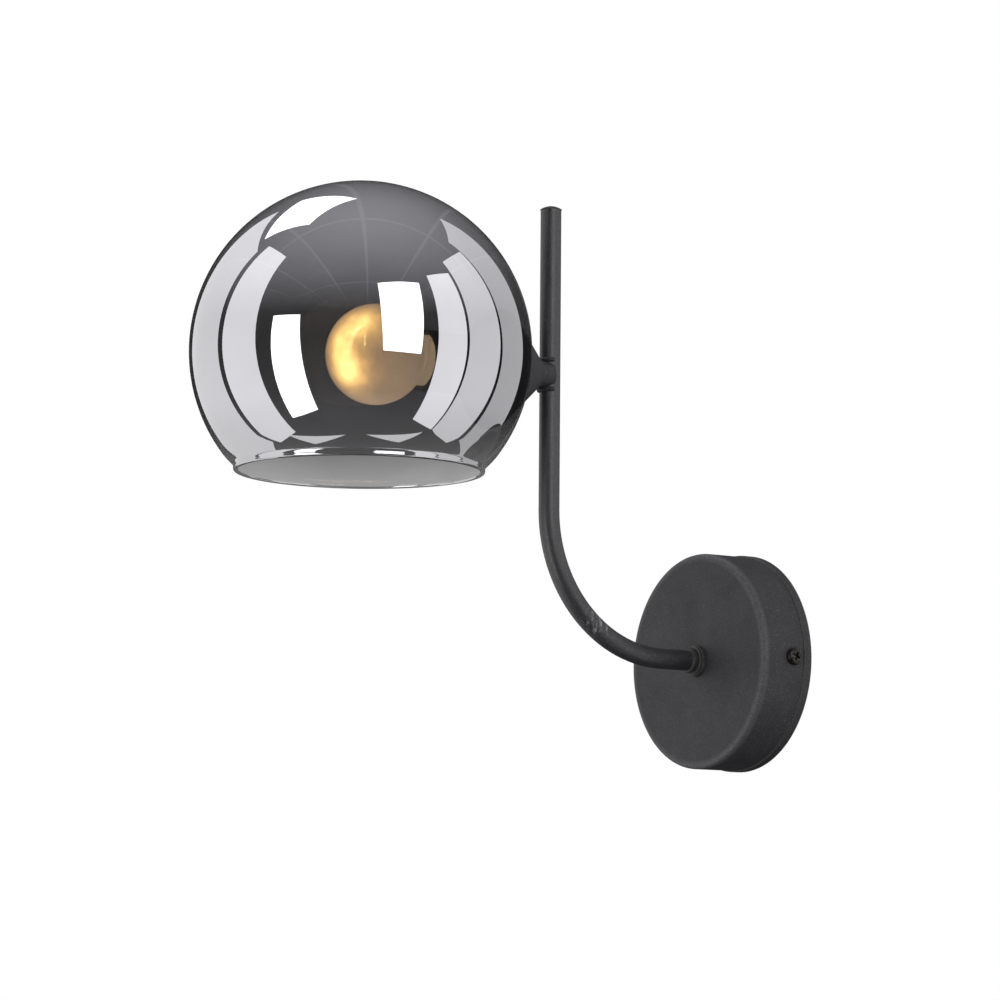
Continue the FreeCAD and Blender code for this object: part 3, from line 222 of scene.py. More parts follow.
# ---------------------------------------------------------------- materials of the metal parts
def powder_coated_steel(colours, name="powder-coated steel", ripple=0.0):
    """Mild steel, blasted and coated with a fine-textured polyester powder.

    To the eye: a dry, nearly black grey with a tight orange-peel grain, faint light specks,
    and slightly smoother, paler places where hands and packing have rubbed it.
    """
    material, tree, shader = new_material(name)
    place = add(tree, "TexCoord").outputs["Object"]
    # The real grain is about 0.25 mm; it is drawn 0.7 mm wide so that it shows.
    grain = add(tree, "TexNoise", {"Scale": per_size(0.7), "Detail": 3.0, "Roughness": 0.6},
                Vector=place)
    speck = add(tree, "TexNoise", {"Scale": per_size(0.55), "Detail": 1.0, "Roughness": 0.4},
                Vector=place)
    cloud = add(tree, "TexNoise", {"Scale": per_size(22), "Detail": 4.0, "Roughness": 0.55},
                Vector=place)
    rub = add(tree, "TexNoise", {"Scale": per_size(9), "Detail": 6.0, "Roughness": 0.7}, Vector=place)
    tone = add(tree, "Mix", {6: linear(colours.coat), 7: linear("#29292d")}, {"data_type": "RGBA"},
               i0=spread(tree, cloud.outputs[0], 0.35, 0.68))
    dots = add(tree, "Mix", {7: linear(colours.coat_speck)}, {"data_type": "RGBA"},
               i0=spread(tree, speck.outputs[0], 0.60, 0.74, 0.0, 0.6), i6=tone.outputs[2])
    # Wear lightens the edges, where the powder is thin. There a rounded normal differs from the
    # real one.
    rounded = add(tree, "Bevel", {"Radius": 0.9 * MILLI}, {"samples": 4})
    turned = add(tree, "VectorMath", settings={"operation": "DOT_PRODUCT"},
                 i0=rounded.outputs[0], i1=add(tree, "NewGeometry").outputs["Normal"])
    edge = spread(tree, turned.outputs["Value"], 0.995, 0.90, 0.0, 0.5)
    worn = add(tree, "Mix", {7: linear("#58564f")}, {"data_type": "RGBA"}, i0=edge, i6=dots.outputs[2])
    tree.links.new(worn.outputs[2], shader.inputs["Base Color"])
    glossy(tree, shader, rub.outputs[0], 0.62, 0.5)
    height = grain.outputs[0]
    if ripple:
        wave = add(tree, "TexWave", {"Scale": per_size(ripple) / 20, "Distortion": 3.0, "Detail": 2.0},
                   Vector=place)
        both = add(tree, "Math", settings={"operation": "ADD"}, i0=height, i1=wave.outputs[1])
        height = both.outputs[0]
    emboss(tree, shader, height, 0.55, 0.00012)
    shader.inputs["IOR"].default_value = 1.5
    shader.inputs["Specular IOR Level"].default_value = 0.4
    return material


def blackened_steel():
    """Steel screw with a black oxide finish, oiled.

    To the eye: a brown-black metal with a soft shine, and bare grey nicks on its edges.
    """
    material, tree, shader = new_material("black-oxide steel")
    place = add(tree, "TexCoord").outputs["Object"]
    stain = add(tree, "TexNoise", {"Scale": per_size(1.2), "Detail": 4.0}, Vector=place)
    tint = ramp(tree, stain.outputs[0], [(0.3, "#2b2a2a"), (0.6, "#3c3937"), (0.75, "#77736d")])
    tree.links.new(tint, shader.inputs["Base Color"])
    glossy(tree, shader, stain.outputs[0], 0.28, 0.42)
    emboss(tree, shader, stain.outputs[0], 0.25, 0.00006)
    shader.inputs["Metallic"].default_value = 1.0
    return material


def canopy_coat_with_painted_highlight(colours):
    """The same powder coat on the canopy, with a painted highlight on its rounded front edge.

    To the eye: an even dark face inside a slightly paler, more grainy ring at the edge;
    that ring is painted highlight, broken up by the grain.
    """
    material = powder_coated_steel(colours, "powder-coated canopy")
    tree = material.node_tree
    shader = tree.nodes["Principled BSDF"]
    low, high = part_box("canopy_cover")
    place = add(tree, "TexCoord").outputs["Object"]
    flat = add(tree, "VectorMath", {1: (1.0, 0.0, 1.0)}, {"operation": "MULTIPLY"}, i0=place)
    across = add(tree, "VectorMath", settings={"operation": "LENGTH"}, i0=flat.outputs[0])
    # Painted highlight: a paler ring where light catches the rounded front edge, over the outermost few
    # millimetres of the radius and the front few millimetres of depth.
    edge_in = spread(tree, across.outputs["Value"], high.x - 0.0045, high.x - 0.002)
    ahead = add(tree, "SeparateXYZ", Vector=place).outputs["Y"]
    edge_front = spread(tree, ahead, low.y + 0.0035, low.y + 0.001)
    grain = add(tree, "TexNoise", {"Scale": per_size(0.7), "Detail": 2.0}, Vector=place)
    broken = spread(tree, grain.outputs[0], 0.35, 0.6, 0.35, 1.0)
    ring = add(tree, "Math", settings={"operation": "MULTIPLY"}, i0=edge_in, i1=edge_front)
    mask = add(tree, "Math", settings={"operation": "MULTIPLY"}, i0=ring.outputs[0], i1=broken)
    before = shader.inputs["Base Color"].links[0].from_socket
    # Mix the painted highlight into the coat's colour.
    pale = add(tree, "Mix", {7: linear("#4e4e51")}, {"data_type": "RGBA"},
               i0=mask.outputs[0], i6=before)
    tree.links.new(pale.outputs[2], shader.inputs["Base Color"])
    return material


def scuffed_tube_coat(colours):
    """The same powder coat on the bent tube, with the pale rubs that a bending former leaves.

    To the eye: the straight lengths are even, and the outside of the bend carries short
    broken scuffs along the tube.
    """
    material = powder_coated_steel(colours, "powder-coated bent tube")
    tree = material.node_tree
    shader = tree.nodes["Principled BSDF"]
    place = add(tree, "TexCoord").outputs["Object"]
    scratch_place = add(tree, "Mapping", {"Scale": (1.0, 1.0, 0.25)}, Vector=place)
    scratch = add(tree, "TexNoise", {"Scale": per_size(1.6), "Detail": 5.0, "Roughness": 0.75},
                  Vector=scratch_place.outputs[0])
    scuffed = (0.003, -0.086, 0.014)  # the worst rub, on the bend, in metres
    from_scuff = add(tree, "VectorMath", {1: scuffed}, {"operation": "DISTANCE"}, i0=place)
    near = spread(tree, from_scuff.outputs["Value"], 0.011, 0.003)
    broken = spread(tree, scratch.outputs[0], 0.53, 0.66)
    mask = add(tree, "Math", settings={"operation": "MULTIPLY"}, i0=near, i1=broken)
    before = shader.inputs["Base Color"].links[0].from_socket
    pale = add(tree, "Mix", {7: linear("#8a8b8e")}, {"data_type": "RGBA"},
               i0=mask.outputs[0], i6=before)
    tree.links.new(pale.outputs[2], shader.inputs["Base Color"])
    glossy(tree, shader, scratch.outputs[0], 0.48, 0.38)
    shader.inputs["Specular IOR Level"].default_value = 0.75
    return material


def zinc_plated_steel():
    """Steel strip and hardware, barrel-plated in zinc and passivated.

    To the eye: a bright blue-grey metal with a soft mottle and fine rolling lines.
    """
    material, tree, shader = new_material("zinc-plated steel")
    place = add(tree, "TexCoord").outputs["Object"]
    mottle = add(tree, "TexVoronoi", {"Scale": per_size(3.5), "Randomness": 1.0}, Vector=place)
    lines_place = add(tree, "Mapping", {"Scale": (0.06, 1.0, 1.0)}, Vector=place)
    lines = add(tree, "TexNoise", {"Scale": per_size(0.4), "Detail": 3.0},
                Vector=lines_place.outputs[0])
    greys = [(0.0, "#b3b7bc"), (0.55, "#a9aeb4"), (1.0, "#b9bab8")]
    tint = ramp(tree, mottle.outputs["Distance"], greys)
    tree.links.new(tint, shader.inputs["Base Color"])
    glossy(tree, shader, lines.outputs[0], 0.28, 0.44)
    emboss(tree, shader, lines.outputs[0], 0.25, 0.00005)
    shader.inputs["Metallic"].default_value = 1.0
    return material


def drawn_brass():
    """Brass bar and strip, turned or pressed and left plain.

    To the eye: a yellow metal with fine tool lines and browner, duller patches of tarnish.
    """
    material, tree, shader = new_material("drawn brass")
    place = add(tree, "TexCoord").outputs["Object"]
    tarnish = add(tree, "TexNoise", {"Scale": per_size(4), "Detail": 5.0}, Vector=place)
    lines = add(tree, "TexWave", {"Scale": per_size(0.35) / 20, "Distortion": 1.2},
                {"bands_direction": "Y"}, Vector=place)
    tint = ramp(tree, tarnish.outputs[0], [(0.3, "#d9b866"), (0.7, "#a98643")])
    tree.links.new(tint, shader.inputs["Base Color"])
    glossy(tree, shader, tarnish.outputs[0], 0.22, 0.42)
    emboss(tree, shader, lines.outputs[1], 0.2, 0.00004)
    shader.inputs["Metallic"].default_value = 1.0
    return material


def nickel_plated_brass():
    """Pressed brass with a bright nickel plate.

    To the eye: a warm silver metal, nearly a mirror, with faint wipe marks.
    """
    material, tree, shader = new_material("nickel-plated brass")
    place = add(tree, "TexCoord").outputs["Object"]
    wipe = add(tree, "TexNoise", {"Scale": per_size(2.5), "Detail": 4.0}, Vector=place)
    tint = ramp(tree, wipe.outputs[0], [(0.3, "#d8d3c8"), (0.7, "#c2bcae")])
    tree.links.new(tint, shader.inputs["Base Color"])
    glossy(tree, shader, wipe.outputs[0], 0.14, 0.3)
    emboss(tree, shader, wipe.outputs[0], 0.12, 0.00005)
    shader.inputs["Metallic"].default_value = 1.0
    return material


def blued_spring_steel():
    """Hardened spring steel, tempered and oiled.

    To the eye: a dark grey metal with bluish and straw-brown temper clouds.
    """
    material, tree, shader = new_material("tempered spring steel")
    place = add(tree, "TexCoord").outputs["Object"]
    cloud = add(tree, "TexNoise", {"Scale": per_size(5), "Detail": 3.0}, Vector=place)
    tint = ramp(tree, cloud.outputs[0], [(0.3, "#7c8088"), (0.5, "#6d7078"), (0.72, "#84786a")])
    tree.links.new(tint, shader.inputs["Base Color"])
    glossy(tree, shader, cloud.outputs[0], 0.3, 0.42)
    shader.inputs["Metallic"].default_value = 1.0
    return material


def tin_solder():
    """A drop of tin solder, cooled in air.

    To the eye: a soft grey metal dome with a fine crystalline pucker.
    """
    material, tree, shader = new_material("tin solder")
    place = add(tree, "TexCoord").outputs["Object"]
    pucker = add(tree, "TexVoronoi", {"Scale": per_size(0.6)}, {"feature": "SMOOTH_F1"}, Vector=place)
    tint = ramp(tree, pucker.outputs["Distance"], [(0.0, "#b9babb"), (1.0, "#97989a")])
    tree.links.new(tint, shader.inputs["Base Color"])
    duller = spread(tree, pucker.outputs["Distance"], 0.0, 1.0, 0.32, 0.5)
    tree.links.new(duller, shader.inputs["Roughness"])
    emboss(tree, shader, pucker.outputs["Distance"], 0.4, 0.0001)
    shader.inputs["Metallic"].default_value = 1.0
    return material


# ---------------------------------------------------------------- materials of the moulded parts
def moulding(name, code, other_code, grain, rough, strength=0.3):
    """A moulded plastic with a fine spark-eroded grain and slow shifts of tone.

    To the eye: an even colour, shifting slowly, whose gloss breaks up finely.
    """
    material, tree, shader = new_material(name)
    place = add(tree, "TexCoord").outputs["Object"]
    fine = add(tree, "TexNoise", {"Scale": per_size(grain), "Detail": 3.0}, Vector=place)
    flow = add(tree, "TexNoise", {"Scale": per_size(14), "Detail": 2.0}, Vector=place)
    tone = add(tree, "Mix", {6: linear(code), 7: linear(other_code)}, {"data_type": "RGBA"},
               i0=spread(tree, flow.outputs[0], 0.35, 0.65))
    tree.links.new(tone.outputs[2], shader.inputs["Base Color"])
    glossy(tree, shader, fine.outputs[0], rough - 0.06, rough + 0.08)
    emboss(tree, shader, fine.outputs[0], strength, 0.00006)
    shader.inputs["IOR"].default_value = 1.5
    return material


def glazed_porcelain():
    """Pressed steatite porcelain with a thin clear glaze.

    To the eye: a cool white body with faint grey flecks under a wet gloss.
    """
    material, tree, shader = new_material("glazed porcelain")
    place = add(tree, "TexCoord").outputs["Object"]
    fleck = add(tree, "TexNoise", {"Scale": per_size(0.8), "Detail": 2.0}, Vector=place)
    tint = ramp(tree, fleck.outputs[0], [(0.35, "#e6e3da"), (0.62, "#dedad0"), (0.78, "#bdb8ad")])
    tree.links.new(tint, shader.inputs["Base Color"])
    glossy(tree, shader, fleck.outputs[0], 0.14, 0.24)
    shader.inputs["Coat Weight"].default_value = 0.5
    shader.inputs["IOR"].default_value = 1.5
    return material


def extruded_insulation(name, code, stripe=None):
    """Extruded PVC insulation over stranded wire.

    To the eye: a smooth waxy skin, slightly uneven and paler in places, with bands of a second
    colour on the earth lead.
    """
    material, tree, shader = new_material(name)
    place = add(tree, "TexCoord").outputs["Object"]
    wax = add(tree, "TexNoise", {"Scale": per_size(3), "Detail": 3.0}, Vector=place)
    tone = add(tree, "Mix", {6: linear(code)}, {"data_type": "RGBA"},
               i0=spread(tree, wax.outputs[0], 0.3, 0.8, 0.0, 0.25))
    tone.inputs[7].default_value = linear("#ffffff")
    colour = tone.outputs[2]
    if stripe:
        bands = add(tree, "TexWave", {"Scale": per_size(7) / 20, "Distortion": 0.4},
                    {"bands_direction": "DIAGONAL"}, Vector=place)
        colour = add(tree, "Mix", {7: linear(stripe)}, {"data_type": "RGBA"},
                     i0=spread(tree, bands.outputs[1], 0.55, 0.62), i6=colour).outputs[2]
    tree.links.new(colour, shader.inputs["Base Color"])
    glossy(tree, shader, wax.outputs[0], 0.34, 0.5)
    emboss(tree, shader, wax.outputs[0], 0.15, 0.0001)
    return material


# ---------------------------------------------------------------- glass and lamp
def blown_glass_inside():
    """Soda-lime glass, blown and fire-polished: the inside face of the globe.

    To the eye: clear, with a faint second gloss behind the mirror. The wall is thin and even,
    so what shows through it isn't bent.
    """
    material, tree, shader = new_material("blown soda-lime glass")
    place = add(tree, "TexCoord").outputs["Object"]
    flow = add(tree, "TexNoise", {"Scale": per_size(45), "Detail": 1.0}, Vector=place)
    emboss(tree, shader, flow.outputs[0], 0.2, 0.0003)
    smear = add(tree, "TexNoise", {"Scale": per_size(30), "Detail": 5.0, "Roughness": 0.7},
                Vector=place)
    tree.links.new(spread(tree, smear.outputs[0], 0.5, 0.8, 0.0, 0.03), shader.inputs["Roughness"])
    shader.inputs["Base Color"].default_value = linear("#fbfcfc")
    shader.inputs["Metallic"].default_value = 1.0
    shader.inputs["Alpha"].default_value = 0.03
    return material


def metallised_film(colours):
    """Chromium film laid on the glass in vacuum, thin enough to see through.

    To the eye: a dark silver mirror that lets about a sixth of the light pass, and rather
    more towards the mouth, where the film thins out, with slow thicker and thinner clouds.
    """
    material, tree, shader = new_material("vacuum-metallised film")
    place = add(tree, "TexCoord").outputs["Object"]
    cloud = add(tree, "TexNoise", {"Scale": per_size(40), "Detail": 3.0}, Vector=place)
    tone = add(tree, "Mix", {6: linear(colours.film), 7: linear("#cdccd0")}, {"data_type": "RGBA"},
               i0=spread(tree, cloud.outputs[0], 0.35, 0.7))
    # Seen from inside the globe the film is a dull dark grey, so the lamp isn't mirrored strongly.
    sided = add(tree, "Mix", {7: linear("#161618")}, {"data_type": "RGBA"},
                i0=add(tree, "NewGeometry").outputs["Backfacing"], i6=tone.outputs[2])
    tree.links.new(sided.outputs[2], shader.inputs["Base Color"])
    height = add(tree, "SeparateXYZ", Vector=place).outputs["Z"]
    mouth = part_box("glass_globe")[0].z
    cover = spread(tree, height, mouth, mouth + 0.025, 0.64, 0.85)
    patch = spread(tree, cloud.outputs[0], 0.3, 0.7, -0.015, 0.015)
    uneven = add(tree, "Math", settings={"operation": "ADD"}, i0=cover, i1=patch)
    tree.links.new(uneven.outputs[0], shader.inputs["Alpha"])
    shader.inputs["Metallic"].default_value = 1.0
    shader.inputs["Roughness"].default_value = 0.0
    return material


def fire_polished_rim():
    """The bare glass at the edge of the back hole, rounded in a flame like the rim.

    To the eye: clear glass, slightly green in its depth, that gathers light in thin lines.
    """
    material, tree, shader = new_material("fire-polished rim glass")
    place = add(tree, "TexCoord").outputs["Object"]
    wave = add(tree, "TexNoise", {"Scale": per_size(12), "Detail": 2.0}, Vector=place)
    emboss(tree, shader, wave.outputs[0], 0.3, 0.0003)
    shader.inputs["Base Color"].default_value = linear("#f2f7f6")
    shader.inputs["Transmission Weight"].default_value = 1.0
    shader.inputs["Roughness"].default_value = 0.0
    shader.inputs["IOR"].default_value = 1.5
    return material


def lit_opal_glass(colours):
    """Opal lamp glass, lit from inside by the filament.

    To the eye: a warm cream ball, nearly white beside the filament and browner away from it,
    with a fine cloud in the opal coat.
    """
    material, tree, shader = new_material("lit opal glass")
    place = add(tree, "TexCoord").outputs["Object"]
    low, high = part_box("bulb_envelope")
    middle = Vector((0.0, low.y + (high.z - low.z) / 2, SHADE_AXIS_Z))
    cloud = add(tree, "TexNoise", {"Scale": per_size(5), "Detail": 4.0}, Vector=place)
    uneven = add(tree, "Math", {1: 0.004}, {"operation": "MULTIPLY"}, i0=cloud.outputs[0])
    # The strip shines through the front of the ball as a short bent band of spots, placed in mm
    # from the ball's middle.
    nearest = None
    band = ((8.0, -11.0, 7.6), (5.8, -13.8, 4.6), (4.2, -15.8, 1.4),
            (4.3, -15.7, -3.0), (4.7, -14.9, -7.3))
    for spot in band:
        centre = middle + Vector(spot) * MILLI
        away = add(tree, "VectorMath", {1: centre}, {"operation": "DISTANCE"}, i0=place)
        distance = away.outputs["Value"]
        if nearest:
            nearer = add(tree, "Math", settings={"operation": "MINIMUM"}, i0=nearest, i1=distance)
            distance = nearer.outputs[0]
        nearest = distance
    reach = add(tree, "Math", settings={"operation": "ADD"}, i0=nearest, i1=uneven.outputs[0])
    near = spread(tree, reach.outputs[0], 0.019, 0.0035)
    warm = [(0.0, colours.glow_edge), (0.5, colours.glow), (0.85, "#ffe88e"), (1.0, "#fff9dc")]
    tint = ramp(tree, near, warm)
    tree.links.new(tint, shader.inputs["Emission Color"])
    power = add(tree, "Math", {1: 2.4}, {"operation": "POWER"}, i0=near)
    strength = spread(tree, power.outputs[0], 0.0, 1.0, 1.5, 17.0)
    tree.links.new(strength, shader.inputs["Emission Strength"])
    base = ramp(tree, cloud.outputs[0], [(0.3, colours.opal), (0.7, "#e6d5b6")])
    tree.links.new(base, shader.inputs["Base Color"])
    shader.inputs["Roughness"].default_value = 0.25
    shader.inputs["Alpha"].default_value = 0.62
    shader.inputs["IOR"].default_value = 1.5
    return material


def lit_filament():
    """A row of light chips under yellow silicone, lit.

    To the eye: a white-hot yellow cord with a small darker break between chips.
    """
    material, tree, shader = new_material("lit silicone filament")
    place = add(tree, "TexCoord").outputs["Object"]
    chips = add(tree, "TexVoronoi", {"Scale": per_size(2.2), "Randomness": 0.6}, Vector=place)
    level = spread(tree, chips.outputs["Distance"], 0.15, 0.7, 34.0, 6.0)
    tint = ramp(tree, chips.outputs["Distance"], [(0.2, "#fff6cf"), (0.8, "#f2b84e")])
    tree.links.new(tint, shader.inputs["Emission Color"])
    tree.links.new(level, shader.inputs["Emission Strength"])
    shader.inputs["Base Color"].default_value = linear("#e8b24a")
    shader.inputs["Roughness"].default_value = 0.45
    return material


def drawn_stem_glass():
    """Drawn glass tube, pinched at the end to hold the wires.

    To the eye: clear with slight draw lines along it.
    """
    material, tree, shader = new_material("drawn stem glass")
    place = add(tree, "TexCoord").outputs["Object"]
    lines = add(tree, "TexWave", {"Scale": per_size(1.0) / 20, "Distortion": 2.0}, Vector=place)
    emboss(tree, shader, lines.outputs[1], 0.2, 0.0001)
    shader.inputs["Base Color"].default_value = linear("#f4f4ee")
    shader.inputs["Roughness"].default_value = 0.05
    shader.inputs["Transmission Weight"].default_value = 1.0
    shader.inputs["IOR"].default_value = 1.5
    return material


# ---------------------------------------------------------------- globe mesh
def arc_points(centre, radius, start, end, steps):
    """Points (across, up) along an arc; angles run down from the horizontal."""
    angles = [start + (end - start) * step / steps for step in range(steps + 1)]
    return [(centre[0] + radius * math.cos(angle), centre[1] - radius * math.sin(angle))
            for angle in angles]


def globe_line(sizes, inset):
    """The globe's wall line, inset from its outside, from the top down to the rim."""
    leave = math.asin(sizes.shoulder_drop / sizes.globe_radius)
    turn = math.radians(48.0)  # slope at which the shoulder meets the hollow curve
    lip = math.radians(-12.0)  # slope at which the hollow curve ends at the rim
    steps_round, steps_shoulder, steps_hollow = 104, 8, 12
    offset = sizes.globe_radius - sizes.shoulder_radius
    shoulder = (offset * math.cos(leave), -offset * math.sin(leave))
    reach = sizes.shoulder_radius + sizes.lip_curve
    hollow = (shoulder[0] + reach * math.cos(turn), shoulder[1] - reach * math.sin(turn))
    line = arc_points((0.0, 0.0), sizes.globe_radius - inset, -math.pi / 2, leave, steps_round)
    line += arc_points(shoulder, sizes.shoulder_radius - inset, leave, turn, steps_shoulder)[1:]
    line += arc_points(hollow, -(sizes.lip_curve + inset), turn, lip, steps_hollow)[1:]
    return [(max(across, 0.0), up) for across, up in line]


def rim_points(outer_end, inner_end, steps=10):
    """The rounded rim from the outside of the wall to its inside."""
    middle = Vector(((outer_end[0] + inner_end[0]) / 2, (outer_end[1] + inner_end[1]) / 2))
    arm = Vector(outer_end) - middle
    down = Vector((arm.y, -arm.x))
    angles = [math.pi * step / steps for step in range(1, steps)]
    return [tuple(middle + arm * math.cos(angle) + down * math.sin(angle)) for angle in angles]


def revolve(mesh, line, slots, segments, centre):
    """Turn a line of (across, up) points about a vertical line through centre."""
    body = bmesh.new()
    rings = []
    for across, up in line:
        if across < 1e-7:
            rings.append([body.verts.new(centre + Vector((0, 0, up)))])
            continue
        angles = [2 * math.pi * index / segments for index in range(segments)]
        ring = [Vector((across * math.cos(angle), across * math.sin(angle), up)) for angle in angles]
        rings.append([body.verts.new(centre + point) for point in ring])
    for level, (here, below) in enumerate(zip(rings, rings[1:])):
        for index in range(segments):
            after = (index + 1) % segments
            corners = [here[index % len(here)], below[index % len(below)],
                       below[after % len(below)], here[after % len(here)]]
            face = body.faces.new(list(dict.fromkeys(corners)))
            face.smooth = True
            face.material_index = slots[level]
    bmesh.ops.recalc_face_normals(body, faces=body.faces)
    body.to_mesh(mesh)
    body.free()


def hole_cutter(radius, start, end, slot_index):
    """A hidden rod along Y that cuts the hole for the lampholder."""
    body = bmesh.new()
    bmesh.ops.create_cone(
        body, cap_ends=True, segments=96, radius1=radius, radius2=radius, depth=abs(end - start))
    place = Matrix.Translation((0, (start + end) / 2, SHADE_AXIS_Z))
    body.transform(place @ Matrix.Rotation(math.pi / 2, 4, "X"))
    for face in body.faces:
        face.smooth = True
        face.material_index = slot_index
    mesh = bpy.data.meshes.new("hole_cutter")
    body.to_mesh(mesh)
    body.free()
    cutter = bpy.data.objects.new("hole_cutter", mesh)
    bpy.context.collection.objects.link(cutter)
    return cutter


def apply_cut(piece, cutter):
    """Cut the piece for good, and remove the cutter."""
    modifier = piece.modifiers.new("hole", "BOOLEAN")
    modifier.operation = "DIFFERENCE"
    modifier.object = cutter
    modifier.solver = "EXACT"
    modifier.material_mode = "INDEX"
    graph = bpy.context.evaluated_depsgraph_get()
    cut = bpy.data.meshes.new_from_object(piece.evaluated_get(graph))
    piece.modifiers.clear()
    old = piece.data
    piece.data = cut
    bpy.data.meshes.remove(old)
    bpy.data.objects.remove(cutter)


def sharpen(mesh, degrees):
    """Edges that turn by more than that stay crisp under smooth shading."""
    body = bmesh.new()
    body.from_mesh(mesh)
    for edge in body.edges:
        edge.smooth = len(edge.link_faces) != 2 or edge.calc_face_angle() < math.radians(degrees)
    body.to_mesh(mesh)
    body.free()


# ---------------------------------------------------------------- operators
class SCONCE_OT_globe(bpy.types.Operator):
    """Blow the glass globe with its rounded rim, mirror film and back hole."""

    bl_idname = "sconce.globe"
    bl_label = "Glass globe"

    def execute(self, context):
        sizes, colours = context.scene.sconce_sizes, context.scene.sconce_colours
        centre = Vector((0.0, GLOBE_FRONT + sizes.globe_radius, SHADE_AXIS_Z))
        outer = globe_line(sizes, 0.0)
        inner = globe_line(sizes, sizes.glass_wall)
        rim = rim_points(outer[-1], inner[-1])
        line = outer + rim + inner[::-1]
        # The film runs round the rim; only the edge of the back hole is bare.
        slots = [0] * (len(outer) + len(rim)) + [1] * (len(inner) - 1)
        mesh = bpy.data.meshes.new("glass_globe_blown")
        revolve(mesh, line, slots, sizes.segments, centre)
        for material in (metallised_film(colours), blown_glass_inside(), fire_polished_rim()):
            mesh.materials.append(material)
        globe = bpy.data.objects.new("glass_globe_blown", mesh)
        context.collection.objects.link(globe)
        back = centre.y + sizes.globe_radius
        halfway = centre.y + sizes.globe_radius / 2
        apply_cut(globe, hole_cutter(sizes.hole_radius, back + 0.005, halfway, 2))
        sharpen(globe.data, 35)
        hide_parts("glass_globe")
        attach(globe, "globe")
        return {"FINISHED"}


class SCONCE_OT_coated_metal(bpy.types.Operator):
    """Coat the canopy, tube, cap, collar, ring nut, boss, cup and side screws."""

    bl_idname = "sconce.coated_metal"
    bl_label = "Powder-coated metal"

    def execute(self, context):
        colours = context.scene.sconce_colours
        coat = powder_coated_steel(colours)
        give(canopy_coat_with_painted_highlight(colours), "canopy_cover")
        give(coat, "end_cap", "stop_collar", "knurled_ring_nut", "arm_boss", "shade_cup")
        give(blackened_steel(), "canopy_screws")
        give(scuffed_tube_coat(colours), "arm_tube")
        give(powder_coated_steel(colours, "powder-coated weld bead", ripple=1.2), "boss_welds")
        return {"FINISHED"}


class SCONCE_OT_lampholder(bpy.types.Operator):
    """Finish the lampholder: dark mouldings, porcelain core, shell and contacts."""

    bl_idname = "sconce.lampholder"
    bl_label = "Lampholder"

    def execute(self, context):
        dark = context.scene.sconce_colours.moulding
        give(moulding("moulded dark phenolic", dark, "#2a2320", 0.6, 0.42),
             "lampholder_cap", "lampholder_body", "shade_ring")
        give(glazed_porcelain(), "lampholder_insert")
        give(made(drawn_brass), "lampholder_shell", "lampholder_centre_contact", "lampholder_terminals")
        give(made(zinc_plated_steel), "cone_nut")
        return {"FINISHED"}


class SCONCE_OT_lamp(bpy.types.Operator):
    """Light the opal ball lamp and finish its collar, cap, stem and filament."""

    bl_idname = "sconce.lamp"
    bl_label = "Ball lamp"

    def execute(self, context):
        give(lit_opal_glass(context.scene.sconce_colours), "bulb_envelope")
        give(lit_filament(), "bulb_filament")
        give(drawn_stem_glass(), "bulb_stem")
        give(moulding("moulded grey polycarbonate", "#6b5c50", "#5f5247", 0.5, 0.45), "bulb_collar")
        give(moulding("moulded black insulator", "#161616", "#1f1e1d", 0.4, 0.35), "bulb_insulator")
        give(made(nickel_plated_brass), "bulb_screw_shell")
        give(tin_solder(), "bulb_tip_contact")
        return {"FINISHED"}


class SCONCE_OT_canopy_inside(bpy.types.Operator):
    """Finish the bracket, terminal block, nuts, washers and earth parts."""

    bl_idname = "sconce.canopy_inside"
    bl_label = "Inside the canopy"

    def execute(self, context):
        give(made(zinc_plated_steel),
             "wall_bracket", "terminal_screws", "terminal_block_screw", "canopy_nut")
        give(made(drawn_brass), "terminal_clamps", "earth_screw")
        give(made(nickel_plated_brass), "earth_ring_terminal", "arm_earth_tag")
        give(blued_spring_steel(), "tooth_washer")
        give(moulding("moulded white polyamide", "#e4e2da", "#d8d5ca", 0.5, 0.5),
             "terminal_block", "tube_bush")
        return {"FINISHED"}


class SCONCE_OT_leads(bpy.types.Operator):
    """Colour the insulated leads inside the arm and canopy."""

    bl_idname = "sconce.leads"
    bl_label = "Leads"

    def execute(self, context):
        give(extruded_insulation("extruded brown insulation", "#5a2f1c"), "live_lead")
        give(extruded_insulation("extruded blue insulation", "#2b5f9e"), "neutral_lead")
        give(extruded_insulation("extruded green insulation", "#2f7a3a", "#e3c53a"), "earth_lead")
        return {"FINISHED"}


# ---------------------------------------------------------------- stage
# Each light: name, azimuths and elevations it fills as seen from the globe, in degrees, its level
# as a share of the panels' or of the softboxes' level, and its distance in metres.
WALL_PANELS = (
    ("left_wall_near", (-45.0, -14.5), (-53.0, 50.0), 0.93, 1.7),
    ("left_wall_far", (-94.0, -50.0), (-50.0, 46.0), 0.8, 1.7),
    ("right_wall_near", (109.0, 131.0), (-48.0, 41.0), 1.0, 1.7),
    ("right_wall_middle", (133.0, 162.0), (-48.0, 48.0), 0.76, 1.7),
    ("right_wall_far", (164.5, 194.0), (-40.0, 54.0), 0.5, 1.7),
)
SOFTBOXES = (
    ("front_softbox_left", (-3.0, 19.0), (-45.0, 15.0), 1.0, 1.5),
    ("front_softbox_right", (71.0, 99.0), (-8.0, 37.0), 1.0, 1.9),
    ("top_softbox", (-106.0, -52.0), (50.0, 72.0), 0.8, 1.9),
)
# Two white sheets on the floor: each is a triangle of directions from the globe, in degrees.
SHEET_CORNERS = ((-25, -51), (-25, -69), (38, -67), (126, -51), (126, -69), (67, -67))


def direction(azimuth, elevation):
    """A unit vector: azimuth 0 is straight out from the wall and 90 to the right, in degrees."""
    turn, rise = math.radians(azimuth), math.radians(elevation)
    return Vector((math.sin(turn) * math.cos(rise), -math.cos(turn) * math.cos(rise), math.sin(rise)))


